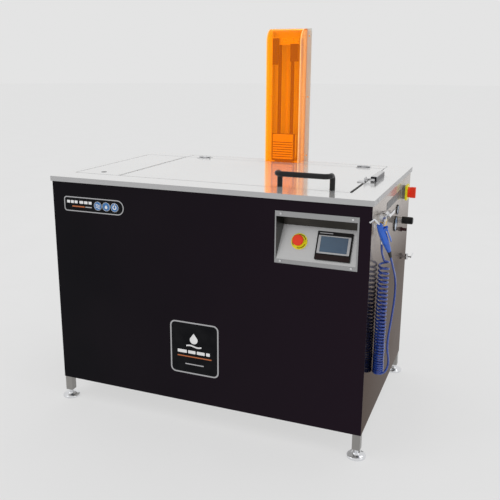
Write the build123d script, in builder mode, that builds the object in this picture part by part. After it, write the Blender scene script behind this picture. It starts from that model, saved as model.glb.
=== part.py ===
from build123d import *
import os
from math import hypot, radians, tan

# Immersion parts washer: a stainless cabinet on four levelling feet with a black front,
# a hinged lid over the wash tank, a guarded lift tower behind the lid, a sloping control
# console, and air and outlet fittings on the right side.
# The object's frame has its origin on the floor under the middle of the cabinet's box.
# Positions are given in cabinet terms (x from the middle, y back from the front face,
# z up from the floor) and moved into the object's frame by CX and FY.

os.makedirs("parts", exist_ok=True)

# ---- driving dimensions, mm ----
WIDTH = 1300.0  # cabinet, side to side
DEPTH = 830.0  # cabinet, front to back
TOP_Z = 974.0  # top of the worktop
PANEL_Z = 95.0  # lower edge of the panels
SHEET = 2.0  # panel and tray thickness
LIP_OUT = 6.0  # worktop beyond the panels
LIP_H = 20.0  # height of the worktop's turned-down lip
SIDE_REACH = 54.0  # furthest fitting beyond the right side panel
TUBE = 30.0  # square frame tube
TUBE_WALL = 2.0
POST_Z = 32.0  # lower end of the posts

FOOT_R = 36.0  # levelling foot, which stands out past the corner post
FOOT_OUT = FOOT_R - SHEET - TUBE / 2

CX = -(SIDE_REACH - FOOT_OUT) / 2
FY = -DEPTH / 2
RIGHT = WIDTH / 2
PANEL_TOP = TOP_Z - 9
WORKTOP_T = 3.0
UNDER_TOP = TOP_Z - WORKTOP_T

# lid, its opening and the cover beside it
TANK_X = 75.0  # middle of the tank, the lid and the tower
LID_W = 950.0
LID_Y = (112.0, 722.0)
LID_T = 20.0
GAP = 3.0
LEDGE_Z = (949.0, 951.0)
LEDGE_IN = 14.0
COVER_X = (-612.0, -411.0)

# wash tank
TANK_IN_W = 900.0
TANK_Y = (130.0, 782.0)
TANK_Z = (440.0, 949.0)
TANK_WALL = 2.5

# lift tower
TOWER_Y = 738.0
COLUMN_Y = 827.0
TOWER_TOP = 1566.0
GUARD_W = 162.0
GUARD_T = 4.0
GUARD_R = 58.0
COLUMN_W = 204.0
ROD_R, ROD_X, ROD_Y = 8.0, 30.0, 783.0
CARRIAGE_Z = (980.0, 1102.0)
HEAD_Z = (1496.0, 1526.0)
HANGER_Y = (760.0, 768.0)
PLATFORM_Z = 556.0

# hinges of the lid
HINGE_Y, HINGE_Z = 728.0, TOP_Z + 5.5
HINGE_X, HINGE_W = 385.0, 56.0
KNUCKLE_R, PIN_R = 4.5, 2.5
RUN = 0.05  # radial running clearance
WELD = 0.02  # gap between the plates of a welded tank

# console recess in the front
CON_X = (304.5, 608.0)
CON_Z = (720.0, 912.0)
POCKET_X = (309.0, 602.0)
POCKET_Z = (735.0, 892.5)
POCKET_D = 80.0
CUT_SIDE, CUT_LOW, CUT_HIGH = 3.0, 5.0, 3.0  # front panel's cutout beyond the pocket

# spiral hose
HOSE_R = 4.0
COIL_R = 21.0
COIL_X, COIL_Y = RIGHT + 22, 150.0
COIL_Z = (285.0, 722.0)


def block(x, y, z, mode=Mode.ADD):
    """A rectangular block between cabinet limits."""
    middle = (CX + sum(x) / 2, FY + sum(y) / 2, sum(z) / 2)
    with Locations(middle):
        Box(x[1] - x[0], y[1] - y[0], z[1] - z[0], mode=mode)


def spread(middle, half):
    """Limits at equal distances either side of a middle."""
    return (middle - half, middle + half)


def upright(x, y, z, radius, mode=Mode.ADD):
    """A vertical cylinder."""
    with Locations((CX + x, FY + y, sum(z) / 2)):
        Cylinder(radius, z[1] - z[0], mode=mode)


def across(x, y, z, radius, mode=Mode.ADD):
    """A cylinder along X."""
    with Locations((CX + sum(x) / 2, FY + y, z)):
        Cylinder(radius, x[1] - x[0], rotation=(0, 90, 0), mode=mode)


def lengthwise(x, y, z, radius, mode=Mode.ADD):
    """A cylinder along Y."""
    with Locations((CX + x, FY + sum(y) / 2, z)):
        Cylinder(radius, y[1] - y[0], rotation=(90, 0, 0), mode=mode)


def tray(x, y, z, wall):
    """A folded tray that is open underneath."""
    block(x, y, z)
    block((x[0] + wall, x[1] - wall), (y[0] + wall, y[1] - wall), (z[0], z[1] - wall), Mode.SUBTRACT)


def ring(x, y, z, inward):
    """A flat rectangular ring."""
    block(x, y, z)
    block((x[0] + inward, x[1] - inward), (y[0] + inward, y[1] - inward), z, Mode.SUBTRACT)


def plated_box(x, y, z, wall):
    """An open-topped box of five plates, inner limits x, y, z, welded with hairline gaps."""
    outer_x, outer_y = (x[0] - wall, x[1] + wall), (y[0] - wall, y[1] + wall)
    standing = (z[0] + WELD, z[1])
    block(outer_x, outer_y, (z[0] - wall, z[0]))
    for side_x in ((outer_x[0], x[0]), (x[1], outer_x[1])):
        block(side_x, (y[0] + WELD, y[1] - WELD), standing)
    for side_y in ((outer_y[0], y[0]), (y[1], outer_y[1])):
        block(outer_x, side_y, standing)


def save(name, part):
    """Labels a finished piece and writes it."""
    part.label = name
    export_step(part, f"parts/{name}.step")


# ---- frame and feet ----
POST_X = RIGHT - SHEET - TUBE / 2
POST_Y = (SHEET + TUBE / 2, DEPTH - SHEET - TUBE / 2)
corners = [(CX + sx * POST_X, FY + y) for sx in (-1, 1) for y in POST_Y]
FOOT_RIM, FOOT_DOME, STEM_R = 6.0, 19.0, 8.0
FOOT_NECK, FOOT_SWELL = 14.0, (24.0, 12.0)
PLUG_H = 16.0

with BuildPart() as feet:
    for cx, cy in corners:
        with BuildSketch(Plane((cx, cy, 0), x_dir=(1, 0, 0), z_dir=(0, -1, 0))):
            with BuildLine():
                Polyline((0, 0), (FOOT_R, 0), (FOOT_R, FOOT_RIM))
                dome = [(FOOT_R, FOOT_RIM), FOOT_SWELL, (FOOT_NECK, FOOT_DOME)]
                Spline(*dome, tangents=[(-0.3, 1), (-0.5, 1)])
                Polyline((FOOT_NECK, FOOT_DOME), (STEM_R, FOOT_DOME), (STEM_R, POST_Z), (0, POST_Z), (0, 0))
            make_face()
        revolve(axis=Axis((cx, cy, 0), (0, 0, 1)))
        with Locations((cx, cy, POST_Z + PLUG_H / 2)):
            Box(TUBE - 2 * TUBE_WALL, TUBE - 2 * TUBE_WALL, PLUG_H)
save("feet", feet.part)

with BuildPart() as frame_posts:
    for cx, cy in corners:
        with BuildSketch(Plane((cx, cy, POST_Z))):
            Rectangle(TUBE, TUBE)
            Rectangle(TUBE - 2 * TUBE_WALL, TUBE - 2 * TUBE_WALL, mode=Mode.SUBTRACT)
        extrude(amount=UNDER_TOP - POST_Z)
save("frame_posts", frame_posts.part)

RAIL_Z = (PANEL_Z + TUBE / 2, UNDER_TOP - TUBE / 2)
SPAN_X = POST_X - TUBE / 2
SPAN_Y = (POST_Y[0] + TUBE / 2, POST_Y[1] - TUBE / 2)

with BuildPart() as frame_rails:
    for z in RAIL_Z:
        for y in POST_Y:
            with BuildSketch(Plane((CX - SPAN_X, FY + y, z), x_dir=(0, 1, 0), z_dir=(1, 0, 0))):
                Rectangle(TUBE, TUBE)
                Rectangle(TUBE - 2 * TUBE_WALL, TUBE - 2 * TUBE_WALL, mode=Mode.SUBTRACT)
            extrude(amount=2 * SPAN_X)
        for x in (-POST_X, POST_X):
            with BuildSketch(Plane((CX + x, FY + SPAN_Y[0], z), x_dir=(1, 0, 0), z_dir=(0, 1, 0))):
                Rectangle(TUBE, TUBE)
                Rectangle(TUBE - 2 * TUBE_WALL, TUBE - 2 * TUBE_WALL, mode=Mode.SUBTRACT)
            extrude(amount=SPAN_Y[1] - SPAN_Y[0])
save("frame_rails", frame_rails.part)

# ---- casing panels ----
with BuildPart() as front_panel:
    block((-RIGHT, RIGHT), (0, SHEET), (PANEL_Z, PANEL_TOP))
    cut_x = (POCKET_X[0] - CUT_SIDE, POCKET_X[1] + CUT_SIDE)
    block(cut_x, (0, SHEET), (POCKET_Z[0] - CUT_LOW, POCKET_Z[1] + CUT_HIGH), Mode.SUBTRACT)
save("front_panel", front_panel.part)

for name, x in (("left_side_panel", (-RIGHT, SHEET - RIGHT)), ("right_side_panel", (RIGHT - SHEET, RIGHT))):
    with BuildPart() as side:
        block(x, (SHEET, DEPTH - SHEET), (PANEL_Z, PANEL_TOP))
    save(name, side.part)

VENT_W, VENT_H, VENT_PITCH = 60.0, 6.0, 18.0
VENT_X, VENT_Z, VENT_COLUMNS, VENT_ROWS, VENT_SPACE = 350.0, 300.0, 3, 8, 20.0
DRAIN_X, DRAIN_Y, DRAIN_Z = TANK_X + 330, 650.0, 230.0
DRAIN_R, DRAIN_BORE, DRAIN_BEND = 16.5, 13.5, 50.0
DRAIN_CLEAR = 0.5

with BuildPart() as rear_panel:
    block((-RIGHT, RIGHT), (DEPTH - SHEET, DEPTH), (PANEL_Z, PANEL_TOP))
    with BuildSketch(Plane((CX, FY + DEPTH, VENT_Z), x_dir=(-1, 0, 0), z_dir=(0, 1, 0))):
        with Locations((-VENT_X, 0), (VENT_X, 0)):
            with GridLocations(VENT_W + VENT_SPACE, VENT_PITCH, VENT_COLUMNS, VENT_ROWS):
                SlotOverall(VENT_W, VENT_H)
    extrude(amount=-SHEET, mode=Mode.SUBTRACT)
    lengthwise(DRAIN_X, (DEPTH - SHEET, DEPTH), DRAIN_Z, DRAIN_R + DRAIN_CLEAR, Mode.SUBTRACT)
save("rear_panel", rear_panel.part)

with BuildPart() as floor_pan:
    pan_x, pan_y = RIGHT - SHEET, (SHEET, DEPTH - SHEET)
    pan_z = (PANEL_Z + TUBE, PANEL_Z + TUBE + SHEET)
    block((-pan_x, pan_x), pan_y, pan_z)
    for cx, cy in corners:
        with Locations((cx, cy, sum(pan_z) / 2)):
            Box(TUBE, TUBE, SHEET, mode=Mode.SUBTRACT)
save("floor_pan", floor_pan.part)
PAN_TOP = pan_z[1]

# ---- worktop: folded sheet with a recessed, ledged opening for each cover ----
LID_X = spread(TANK_X, LID_W / 2)
SLOT_X = spread(TANK_X, 46)
SLOT_GAP = 5.0  # between the hanger and each side of its slot
SLOT_Y = (HANGER_Y[0] - SLOT_GAP, HANGER_Y[1] + SLOT_GAP)
REAR_SEAM_Y = 795.0
SEAM_END = COLUMN_W / 2 + 4  # where the rear seam stops beside the tower
GROOVE = 1.5
WORKTOP_ROUND = 3.0
openings = [
    ((LID_X[0] - GAP, LID_X[1] + GAP), (LID_Y[0] - GAP, LID_Y[1] + GAP)),
    ((COVER_X[0] - GAP, COVER_X[1] + GAP), (LID_Y[0] - GAP, LID_Y[1] + GAP)),
]

with BuildPart() as worktop:
    tray(
        spread(0, RIGHT + LIP_OUT),
        (-LIP_OUT, DEPTH + LIP_OUT),
        (TOP_Z - LIP_H, TOP_Z),
        SHEET,
    )
    block(
        spread(0, RIGHT + LIP_OUT - SHEET),
        (SHEET - LIP_OUT, DEPTH + LIP_OUT - SHEET),
        (UNDER_TOP, TOP_Z - SHEET),
    )
    for ox, oy in openings:
        block((ox[0] - SHEET, ox[1] + SHEET), (oy[0] - SHEET, oy[1] + SHEET), (LEDGE_Z[0], UNDER_TOP))
    for ox, oy in openings:
        block(ox, oy, (LEDGE_Z[1], TOP_Z), Mode.SUBTRACT)
        block(
            (ox[0] + LEDGE_IN, ox[1] - LEDGE_IN),
            (oy[0] + LEDGE_IN, oy[1] - LEDGE_IN),
            LEDGE_Z,
            Mode.SUBTRACT,
        )
    block(SLOT_X, SLOT_Y, (UNDER_TOP, TOP_Z), Mode.SUBTRACT)
    rear_x, rear_y = openings[0][0], openings[0][1][1]
    for gx in ((rear_x[0], LID_X[0]), (LID_X[1], rear_x[1])):
        block(gx, (rear_y, REAR_SEAM_Y), (TOP_Z - GROOVE, TOP_Z), Mode.SUBTRACT)
    for gx in ((LID_X[0], TANK_X - SEAM_END), (TANK_X + SEAM_END, LID_X[1])):
        block(gx, (REAR_SEAM_Y - GAP, REAR_SEAM_Y), (TOP_Z - GROOVE, TOP_Z), Mode.SUBTRACT)
    outer_corners = worktop.edges().filter_by(Axis.Z).sort_by(Axis.X)
    fillet(outer_corners[:2] + outer_corners[-2:], WORKTOP_ROUND)
save("worktop", worktop.part)

# ---- lid, left cover and their furniture ----
RIB_W, RIB_H, RIB_X = 60.0, 12.0, 220.0

with BuildPart() as lid:
    tray(LID_X, LID_Y, (TOP_Z - LID_T, TOP_Z), SHEET)
    for rx in (-RIB_X, RIB_X):
        block(
            spread(TANK_X + rx, RIB_W / 2),
            (LID_Y[0] + SHEET, LID_Y[1] - SHEET),
            (TOP_Z - SHEET - RIB_H, TOP_Z - SHEET),
        )
        block(
            spread(TANK_X + rx, RIB_W / 2 - SHEET),
            (LID_Y[0] + SHEET, LID_Y[1] - SHEET),
            (TOP_Z - RIB_H, TOP_Z - SHEET),
            Mode.SUBTRACT,
        )
save("lid", lid.part)

SEAL_IN, SEAL_CLEAR = 10.0, 0.4
with BuildPart() as lid_gasket:
    ring(LID_X, LID_Y, (LEDGE_Z[1] + SEAL_CLEAR, TOP_Z - LID_T), SEAL_IN)
save("lid_gasket", lid_gasket.part)

HANDLE_R, HANDLE_BEND = 10.0, 21.0
HANDLE_X, HANDLE_Y, HANDLE_Z = (274.0, 474.0), (135.0, 86.0), TOP_Z + 55
handle_points = [
    (HANDLE_X[0], HANDLE_Y[0], TOP_Z),
    (HANDLE_X[0], HANDLE_Y[0], HANDLE_Z),
    (HANDLE_X[0], HANDLE_Y[1], HANDLE_Z),
    (HANDLE_X[1], HANDLE_Y[1], HANDLE_Z),
    (HANDLE_X[1], HANDLE_Y[0], HANDLE_Z),
    (HANDLE_X[1], HANDLE_Y[0], TOP_Z),
]
with BuildPart() as lid_handle:
    with BuildLine():
        FilletPolyline(*[(CX + x, FY + y, z) for x, y, z in handle_points], radius=HANDLE_BEND)
    with BuildSketch(Plane((CX + HANDLE_X[0], FY + HANDLE_Y[0], TOP_Z))):
        Circle(HANDLE_R)
    sweep()
save("lid_handle", lid_handle.part)

LEAF_T, LEAF_L, TAB_HALF, KNUCKLE_GAP = 2.0, 28.0, 10.0, 0.5
hinge_middles = (TANK_X - HINGE_X, TANK_X + HINGE_X)
PLATE_OFF, TAB_CLEAR = 5.2, 0.4

with BuildPart() as hinge_leaves_lid:
    for hx in hinge_middles:
        block(spread(hx, HINGE_W / 2), (HINGE_Y - LEAF_L, HINGE_Y - PLATE_OFF), (TOP_Z, TOP_Z + LEAF_T))
        block(spread(hx, TAB_HALF), (HINGE_Y - PLATE_OFF, HINGE_Y), (TOP_Z + TAB_CLEAR, TOP_Z + LEAF_T))
        across(spread(hx, TAB_HALF), HINGE_Y, HINGE_Z, KNUCKLE_R)
        across(spread(hx, TAB_HALF), HINGE_Y, HINGE_Z, PIN_R + RUN, Mode.SUBTRACT)
save("hinge_leaves_lid", hinge_leaves_lid.part)

with BuildPart() as hinge_leaves_fixed:
    for hx in hinge_middles:
        block(spread(hx, HINGE_W / 2), (HINGE_Y + PLATE_OFF, HINGE_Y + LEAF_L), (TOP_Z, TOP_Z + LEAF_T))
        knuckle_in = TAB_HALF + KNUCKLE_GAP
        for side_x in ((hx - HINGE_W / 2, hx - knuckle_in), (hx + knuckle_in, hx + HINGE_W / 2)):
            block(side_x, (HINGE_Y, HINGE_Y + PLATE_OFF), (TOP_Z, TOP_Z + LEAF_T))
            across(side_x, HINGE_Y, HINGE_Z, KNUCKLE_R)
            across(side_x, HINGE_Y, HINGE_Z, PIN_R, Mode.SUBTRACT)
save("hinge_leaves_fixed", hinge_leaves_fixed.part)

with BuildPart() as hinge_pins:
    for hx in hinge_middles:
        across(spread(hx, HINGE_W / 2), HINGE_Y, HINGE_Z, PIN_R)
save("hinge_pins", hinge_pins.part)

LOCK_X, LOCK_Y, LOCK_H, LOCK_ROUND = (564.0, 588.0), (372.0, 530.0), 20.0, 5.0
LOCK_SOCKET, SOCKET_DEEP, SOCKET_Z = 8.5, 14.0, (TOP_Z + 3, TOP_Z + 16)
with BuildPart() as lid_lock:
    block(LOCK_X, LOCK_Y, (TOP_Z, TOP_Z + LOCK_H))
    fillet(lid_lock.edges().filter_by(Axis.Y).group_by(Axis.Z)[-1], LOCK_ROUND)
    socket_y = (LOCK_Y[0], LOCK_Y[0] + SOCKET_DEEP)
    block(spread(sum(LOCK_X) / 2, LOCK_SOCKET), socket_y, SOCKET_Z, Mode.SUBTRACT)
save("lid_lock", lid_lock.part)

KEY_X, KEY_Y, KEY_T, KEY_H = (520.0, 549.0), (334.0, 369.0), 3.0, 18.0
TONGUE_Y, TONGUE_Z, TONGUE_L = (355.0, 368.0), (TOP_Z + 5, TOP_Z + 14), 34.0
with BuildPart() as lid_lock_key:
    block(KEY_X, KEY_Y, (TOP_Z, TOP_Z + KEY_T))
    block((KEY_X[1] - KEY_T, KEY_X[1]), KEY_Y, (TOP_Z, TOP_Z + KEY_H))
    block((KEY_X[1], KEY_X[1] + TONGUE_L), TONGUE_Y, TONGUE_Z)
save("lid_lock_key", lid_lock_key.part)

FINGER_Y, FINGER_R = 165.0, 12.0
with BuildPart() as left_cover:
    tray(COVER_X, LID_Y, (LEDGE_Z[1], TOP_Z), SHEET)
    upright(sum(COVER_X) / 2, FINGER_Y, (TOP_Z - SHEET, TOP_Z), FINGER_R, Mode.SUBTRACT)
save("left_cover", left_cover.part)

# ---- wash tank and what hangs on it ----
FLANGE, FLANGE_T = 12.0, 2.5
TANK_X_IN = spread(TANK_X, TANK_IN_W / 2)
OUTLET_Y, OUTLET_Z = 770.0, 578.0

with BuildPart() as wash_tank:
    plated_box(TANK_X_IN, TANK_Y, TANK_Z, TANK_WALL)
    rim_x = (TANK_X_IN[0] - TANK_WALL - WELD, TANK_X_IN[1] + TANK_WALL + WELD)
    rim_y = (TANK_Y[0] - TANK_WALL - WELD, TANK_Y[1] + TANK_WALL + WELD)
    rim_z = (TANK_Z[1] - FLANGE_T, TANK_Z[1])
    for side_x in ((rim_x[0] - FLANGE, rim_x[0]), (rim_x[1], rim_x[1] + FLANGE)):
        block(side_x, (rim_y[0] - FLANGE, rim_y[1] + FLANGE), rim_z)
    for side_y in ((rim_y[0] - FLANGE, rim_y[0]), (rim_y[1], rim_y[1] + FLANGE)):
        block((rim_x[0] + WELD, rim_x[1] - WELD), side_y, rim_z)
    upright(DRAIN_X, DRAIN_Y, (TANK_Z[0] - TANK_WALL, TANK_Z[0]), DRAIN_BORE, Mode.SUBTRACT)
save("wash_tank", wash_tank.part)

with BuildPart() as drain_pipe:
    with BuildLine():
        FilletPolyline(
            (CX + DRAIN_X, FY + DRAIN_Y, TANK_Z[0] - TANK_WALL),
            (CX + DRAIN_X, FY + DRAIN_Y, DRAIN_Z),
            (CX + DRAIN_X, FY + DEPTH + LIP_OUT, DRAIN_Z),
            radius=DRAIN_BEND,
        )
    with BuildSketch(Plane((CX + DRAIN_X, FY + DRAIN_Y, TANK_Z[0] - TANK_WALL))):
        Circle(DRAIN_R)
        Circle(DRAIN_BORE, mode=Mode.SUBTRACT)
    sweep()
save("drain_pipe", drain_pipe.part)

TRANS_R, TRANS_H, TRANS_NECK, TRANS_NECK_R = 24.0, 40.0, 14.0, 18.0
TRANS_X, TRANS_Y, TRANS_PITCH, TRANS_GRID = TANK_X - 60, 420.0, 150.0, (5, 3)
with BuildPart() as transducers:
    base_z = TANK_Z[0] - TANK_WALL
    with Locations((CX + TRANS_X, FY + TRANS_Y, base_z - TRANS_NECK / 2)):
        with GridLocations(TRANS_PITCH, TRANS_PITCH, *TRANS_GRID):
            Cylinder(TRANS_NECK_R, TRANS_NECK)
    with Locations((CX + TRANS_X, FY + TRANS_Y, base_z - TRANS_NECK - TRANS_H / 2)):
        with GridLocations(TRANS_PITCH, TRANS_PITCH, *TRANS_GRID):
            Cylinder(TRANS_R, TRANS_H)
save("transducers", transducers.part)

GENERATOR_X, GENERATOR_HALF = (-150.0, 190.0), 140.0
GENERATOR_Y, GENERATOR_H = (120.0, 480.0), 170.0
with BuildPart() as ultrasonic_generator:
    for gx in GENERATOR_X:
        tray(spread(gx, GENERATOR_HALF), GENERATOR_Y, (PAN_TOP, PAN_TOP + GENERATOR_H), SHEET)
save("ultrasonic_generator", ultrasonic_generator.part)

FILTER_X, FILTER_Y, FILTER_Z = (-600.0, -420.0), (128.0, 706.0), 640.0
with BuildPart() as filter_tank:
    plated_box(
        (FILTER_X[0] + SHEET, FILTER_X[1] - SHEET),
        (FILTER_Y[0] + SHEET, FILTER_Y[1] - SHEET),
        (FILTER_Z + SHEET, LEDGE_Z[0]),
        SHEET,
    )
save("filter_tank", filter_tank.part)

PUMP_X, PUMP_Z = -510.0, 215.0
MOTOR_Y, MOTOR_R = (330.0, 540.0), 62.0
VOLUTE_Y, VOLUTE_R = (270.0, 330.0), 78.0
BASE_HALF, BASE_Y = 50.0, (300.0, 520.0)
RISER_Y, RISER_R = 300.0, 14.0
with BuildPart() as pump:
    lengthwise(PUMP_X, MOTOR_Y, PUMP_Z, MOTOR_R)
    lengthwise(PUMP_X, VOLUTE_Y, PUMP_Z, VOLUTE_R)
    block(spread(PUMP_X, BASE_HALF), BASE_Y, (PAN_TOP, PUMP_Z))
    upright(PUMP_X, RISER_Y, (PUMP_Z, FILTER_Z), RISER_R)
save("pump", pump.part)

# ---- control console ----
slope_l = hypot(POCKET_D, POCKET_Z[1] - POCKET_Z[0])
slope_h = POCKET_Z[1] - POCKET_Z[0]
roof_z = POCKET_Z[1] + SHEET
back_low = POCKET_Z[0] - SHEET * slope_l / POCKET_D
back_deep = POCKET_D * (roof_z - back_low) / slope_h
CON_MID = sum(CON_X) / 2
slope_plane = Plane(
    (CX + CON_MID, FY, POCKET_Z[0]),
    x_dir=(1, 0, 0),
    z_dir=(0, -slope_h / slope_l, POCKET_D / slope_l),
)
HMI_X, HMI_S, HMI_W, HMI_H, HMI_T = 59.25, 63.7, 128.0, 104.0, 7.0
HMI_BACK_D, HMI_BACK_IN, HMI_ROUND = 26.0, 10.0, 3.0
SCREEN_S, SCREEN_W, SCREEN_H, SCREEN_IN, SCREEN_T = 68.7, 99.0, 57.0, 1.5, 1.0
ESTOP_X, ESTOP_S = -69.75, 71.0
ESTOP_RING_R, COLLAR_R, BUTTON_R, STEM_BORE = 30.0, 16.0, 20.0, 8.0
BARREL_R, BARREL_L = 11.0, 34.0

with BuildPart() as console_housing:
    block(CON_X, (-SHEET, 0), CON_Z)
    with BuildSketch(Plane((CX + POCKET_X[0] - SHEET, FY, 0), x_dir=(0, 1, 0), z_dir=(1, 0, 0))):
        Polygon((0, back_low), (0, roof_z), (back_deep, roof_z), align=None)
    extrude(amount=POCKET_X[1] - POCKET_X[0] + 2 * SHEET)
    with BuildSketch(Plane((CX + POCKET_X[0], FY, 0), x_dir=(0, 1, 0), z_dir=(1, 0, 0))):
        Polygon(
            (-SHEET, POCKET_Z[0]),
            (-SHEET, POCKET_Z[1]),
            (POCKET_D, POCKET_Z[1]),
            (0, POCKET_Z[0]),
            align=None,
        )
    extrude(amount=POCKET_X[1] - POCKET_X[0], mode=Mode.SUBTRACT)
    with BuildSketch(slope_plane.offset(-2 * SHEET)):
        with Locations((HMI_X, HMI_S)):
            Rectangle(HMI_W - HMI_BACK_IN, HMI_H - HMI_BACK_IN)
        with Locations((ESTOP_X, ESTOP_S)):
            Circle(BARREL_R)
    extrude(amount=3 * SHEET, mode=Mode.SUBTRACT)
save("console_housing", console_housing.part)

with BuildPart() as hmi_housing:
    with BuildSketch(slope_plane):
        with Locations((HMI_X, HMI_S)):
            RectangleRounded(HMI_W, HMI_H, HMI_ROUND)
    extrude(amount=HMI_T)
    with BuildSketch(slope_plane):
        with Locations((HMI_X, HMI_S)):
            Rectangle(HMI_W - HMI_BACK_IN, HMI_H - HMI_BACK_IN)
    extrude(amount=-HMI_BACK_D)
    with BuildSketch(slope_plane.offset(HMI_T)):
        with Locations((HMI_X, SCREEN_S)):
            Rectangle(SCREEN_W, SCREEN_H)
    extrude(amount=-SCREEN_IN, mode=Mode.SUBTRACT)
save("hmi_housing", hmi_housing.part)

with BuildPart() as hmi_screen:
    with BuildSketch(slope_plane.offset(HMI_T - SCREEN_IN)):
        with Locations((HMI_X, SCREEN_S)):
            Rectangle(SCREEN_W, SCREEN_H)
    extrude(amount=SCREEN_T)
save("hmi_screen", hmi_screen.part)

RING_T, COLLAR_TOP, BORE_END = 2.0, 10.0, -6.0
BUTTON_BACK, BUTTON_TOP, BUTTON_BEVEL = 16.0, 27.0, 3.0
with BuildPart() as estop_base:
    with BuildSketch(slope_plane):
        with Locations((ESTOP_X, ESTOP_S)):
            Circle(ESTOP_RING_R)
    extrude(amount=RING_T)
    with BuildSketch(slope_plane):
        with Locations((ESTOP_X, ESTOP_S)):
            Circle(COLLAR_R)
    extrude(amount=COLLAR_TOP)
    with BuildSketch(slope_plane.offset(-BARREL_L)):
        with Locations((ESTOP_X, ESTOP_S)):
            Circle(BARREL_R)
    extrude(amount=BARREL_L)
    with BuildSketch(slope_plane.offset(BORE_END)):
        with Locations((ESTOP_X, ESTOP_S)):
            Circle(STEM_BORE + RUN)
    extrude(amount=COLLAR_TOP - BORE_END, mode=Mode.SUBTRACT)
save("estop_base", estop_base.part)

with BuildPart() as estop_button:
    with BuildSketch(slope_plane.offset(BUTTON_BACK)):
        with Locations((ESTOP_X, ESTOP_S)):
            Circle(BUTTON_R)
    extrude(amount=BUTTON_TOP - BUTTON_BACK)
    outward = Axis(slope_plane.origin, slope_plane.z_dir)
    chamfer(estop_button.faces().sort_by(outward)[-1].edges(), BUTTON_BEVEL)
    with BuildSketch(slope_plane):
        with Locations((ESTOP_X, ESTOP_S)):
            Circle(STEM_BORE)
    extrude(amount=BUTTON_BACK)
save("estop_button", estop_button.part)

# ---- badges on the front: a long one at the upper left and a square one low down ----
BADGE_T = 0.8
UPPER_ROUND, LOWER_ROUND = (12.0, 29.0), 22.0
UPPER_X, UPPER_Z = (-597.0, -320.0), (836.0, 896.0)
LOWER_X, LOWER_Z = (-127.0, 82.0), (217.0, 436.0)
with BuildPart() as front_badges:
    upper_mid = (CX + sum(UPPER_X) / 2, FY, sum(UPPER_Z) / 2)
    with BuildSketch(Plane(upper_mid, x_dir=(1, 0, 0), z_dir=(0, -1, 0))) as upper_face:
        Rectangle(UPPER_X[1] - UPPER_X[0], UPPER_Z[1] - UPPER_Z[0])
        fillet(upper_face.vertices().sort_by(Axis.X)[:2], UPPER_ROUND[0])
        fillet(upper_face.vertices().sort_by(Axis.X)[-2:], UPPER_ROUND[1])
    extrude(amount=BADGE_T)
    lower_mid = (CX + sum(LOWER_X) / 2, FY, sum(LOWER_Z) / 2)
    with BuildSketch(Plane(lower_mid, x_dir=(1, 0, 0), z_dir=(0, -1, 0))):
        RectangleRounded(LOWER_X[1] - LOWER_X[0], LOWER_Z[1] - LOWER_Z[0], LOWER_ROUND)
    extrude(amount=BADGE_T)
save("front_badges", front_badges.part)

# ---- lift tower ----
COLUMN_T, WEB_X, WEB_Y = 3.0, 72.0, 797.0
COLUMN_TOP, WEB_TOP = TOWER_TOP + 2, TOWER_TOP - 10
with BuildPart() as lift_column:
    block(spread(TANK_X, COLUMN_W / 2), (COLUMN_Y, COLUMN_Y + COLUMN_T), (TOP_Z, COLUMN_TOP))
    for wx in (-WEB_X, WEB_X):
        block(spread(TANK_X + wx, COLUMN_T / 2), (WEB_Y, COLUMN_Y), (TOP_Z, WEB_TOP))
save("lift_column", lift_column.part)

with BuildPart() as lift_guard:
    for half, inset, mode in ((GUARD_W / 2, 0, Mode.ADD), (GUARD_W / 2 - GUARD_T, GUARD_T, Mode.SUBTRACT)):
        left = Plane((CX + TANK_X - half, FY, 0), x_dir=(0, 1, 0), z_dir=(1, 0, 0))
        with BuildSketch(left):
            with BuildLine():
                Line((COLUMN_Y, TOP_Z), (TOWER_Y + inset, TOP_Z))
                Line((TOWER_Y + inset, TOP_Z), (TOWER_Y + inset, TOWER_TOP - GUARD_R))
                RadiusArc(
                    (TOWER_Y + inset, TOWER_TOP - GUARD_R),
                    (TOWER_Y + GUARD_R, TOWER_TOP - inset),
                    GUARD_R - inset,
                )
                Line((TOWER_Y + GUARD_R, TOWER_TOP - inset), (COLUMN_Y, TOWER_TOP - inset))
                Line((COLUMN_Y, TOWER_TOP - inset), (COLUMN_Y, TOP_Z))
            make_face()
        extrude(amount=2 * half, mode=mode)
save("lift_guard", lift_guard.part)

FOOT_BLOCK_Z, ROD_Z0 = 979.0, 984.0
with BuildPart() as guide_rods:
    for rx in (-ROD_X, ROD_X):
        upright(TANK_X + rx, ROD_Y, (ROD_Z0, HEAD_Z[0]), ROD_R)
save("guide_rods", guide_rods.part)

CYLINDER_R, CYLINDER_Y = 12.0, 812.0
with BuildPart() as lift_cylinder:
    upright(TANK_X, CYLINDER_Y, (ROD_Z0, HEAD_Z[0]), CYLINDER_R)
save("lift_cylinder", lift_cylinder.part)

END_HALF, FOOT_BLOCK_Y, HEAD_Y = 62.0, 774.0, 760.0
with BuildPart() as lift_end_blocks:
    block(spread(TANK_X, END_HALF), (FOOT_BLOCK_Y, COLUMN_Y), (TOP_Z, FOOT_BLOCK_Z))
    for ex in (-ROD_X, ROD_X):
        upright(TANK_X + ex, ROD_Y, (FOOT_BLOCK_Z, ROD_Z0), ROD_R + 1)
    upright(TANK_X, CYLINDER_Y, (FOOT_BLOCK_Z, ROD_Z0), CYLINDER_R)
    block(spread(TANK_X, END_HALF), (HEAD_Y, COLUMN_Y), HEAD_Z)
save("lift_end_blocks", lift_end_blocks.part)

VALVE_LEFT = ((TANK_X - 54, TANK_X - 28), (747.0, HEAD_Y), (1410.0, 1524.0))
VALVE_RIGHT = ((TANK_X + 28, TANK_X + 64), (750.0, HEAD_Y), (1424.0, 1500.0))
with BuildPart() as lift_valve:
    block(*VALVE_LEFT)
    block(*VALVE_RIGHT)
save("lift_valve", lift_valve.part)

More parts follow.
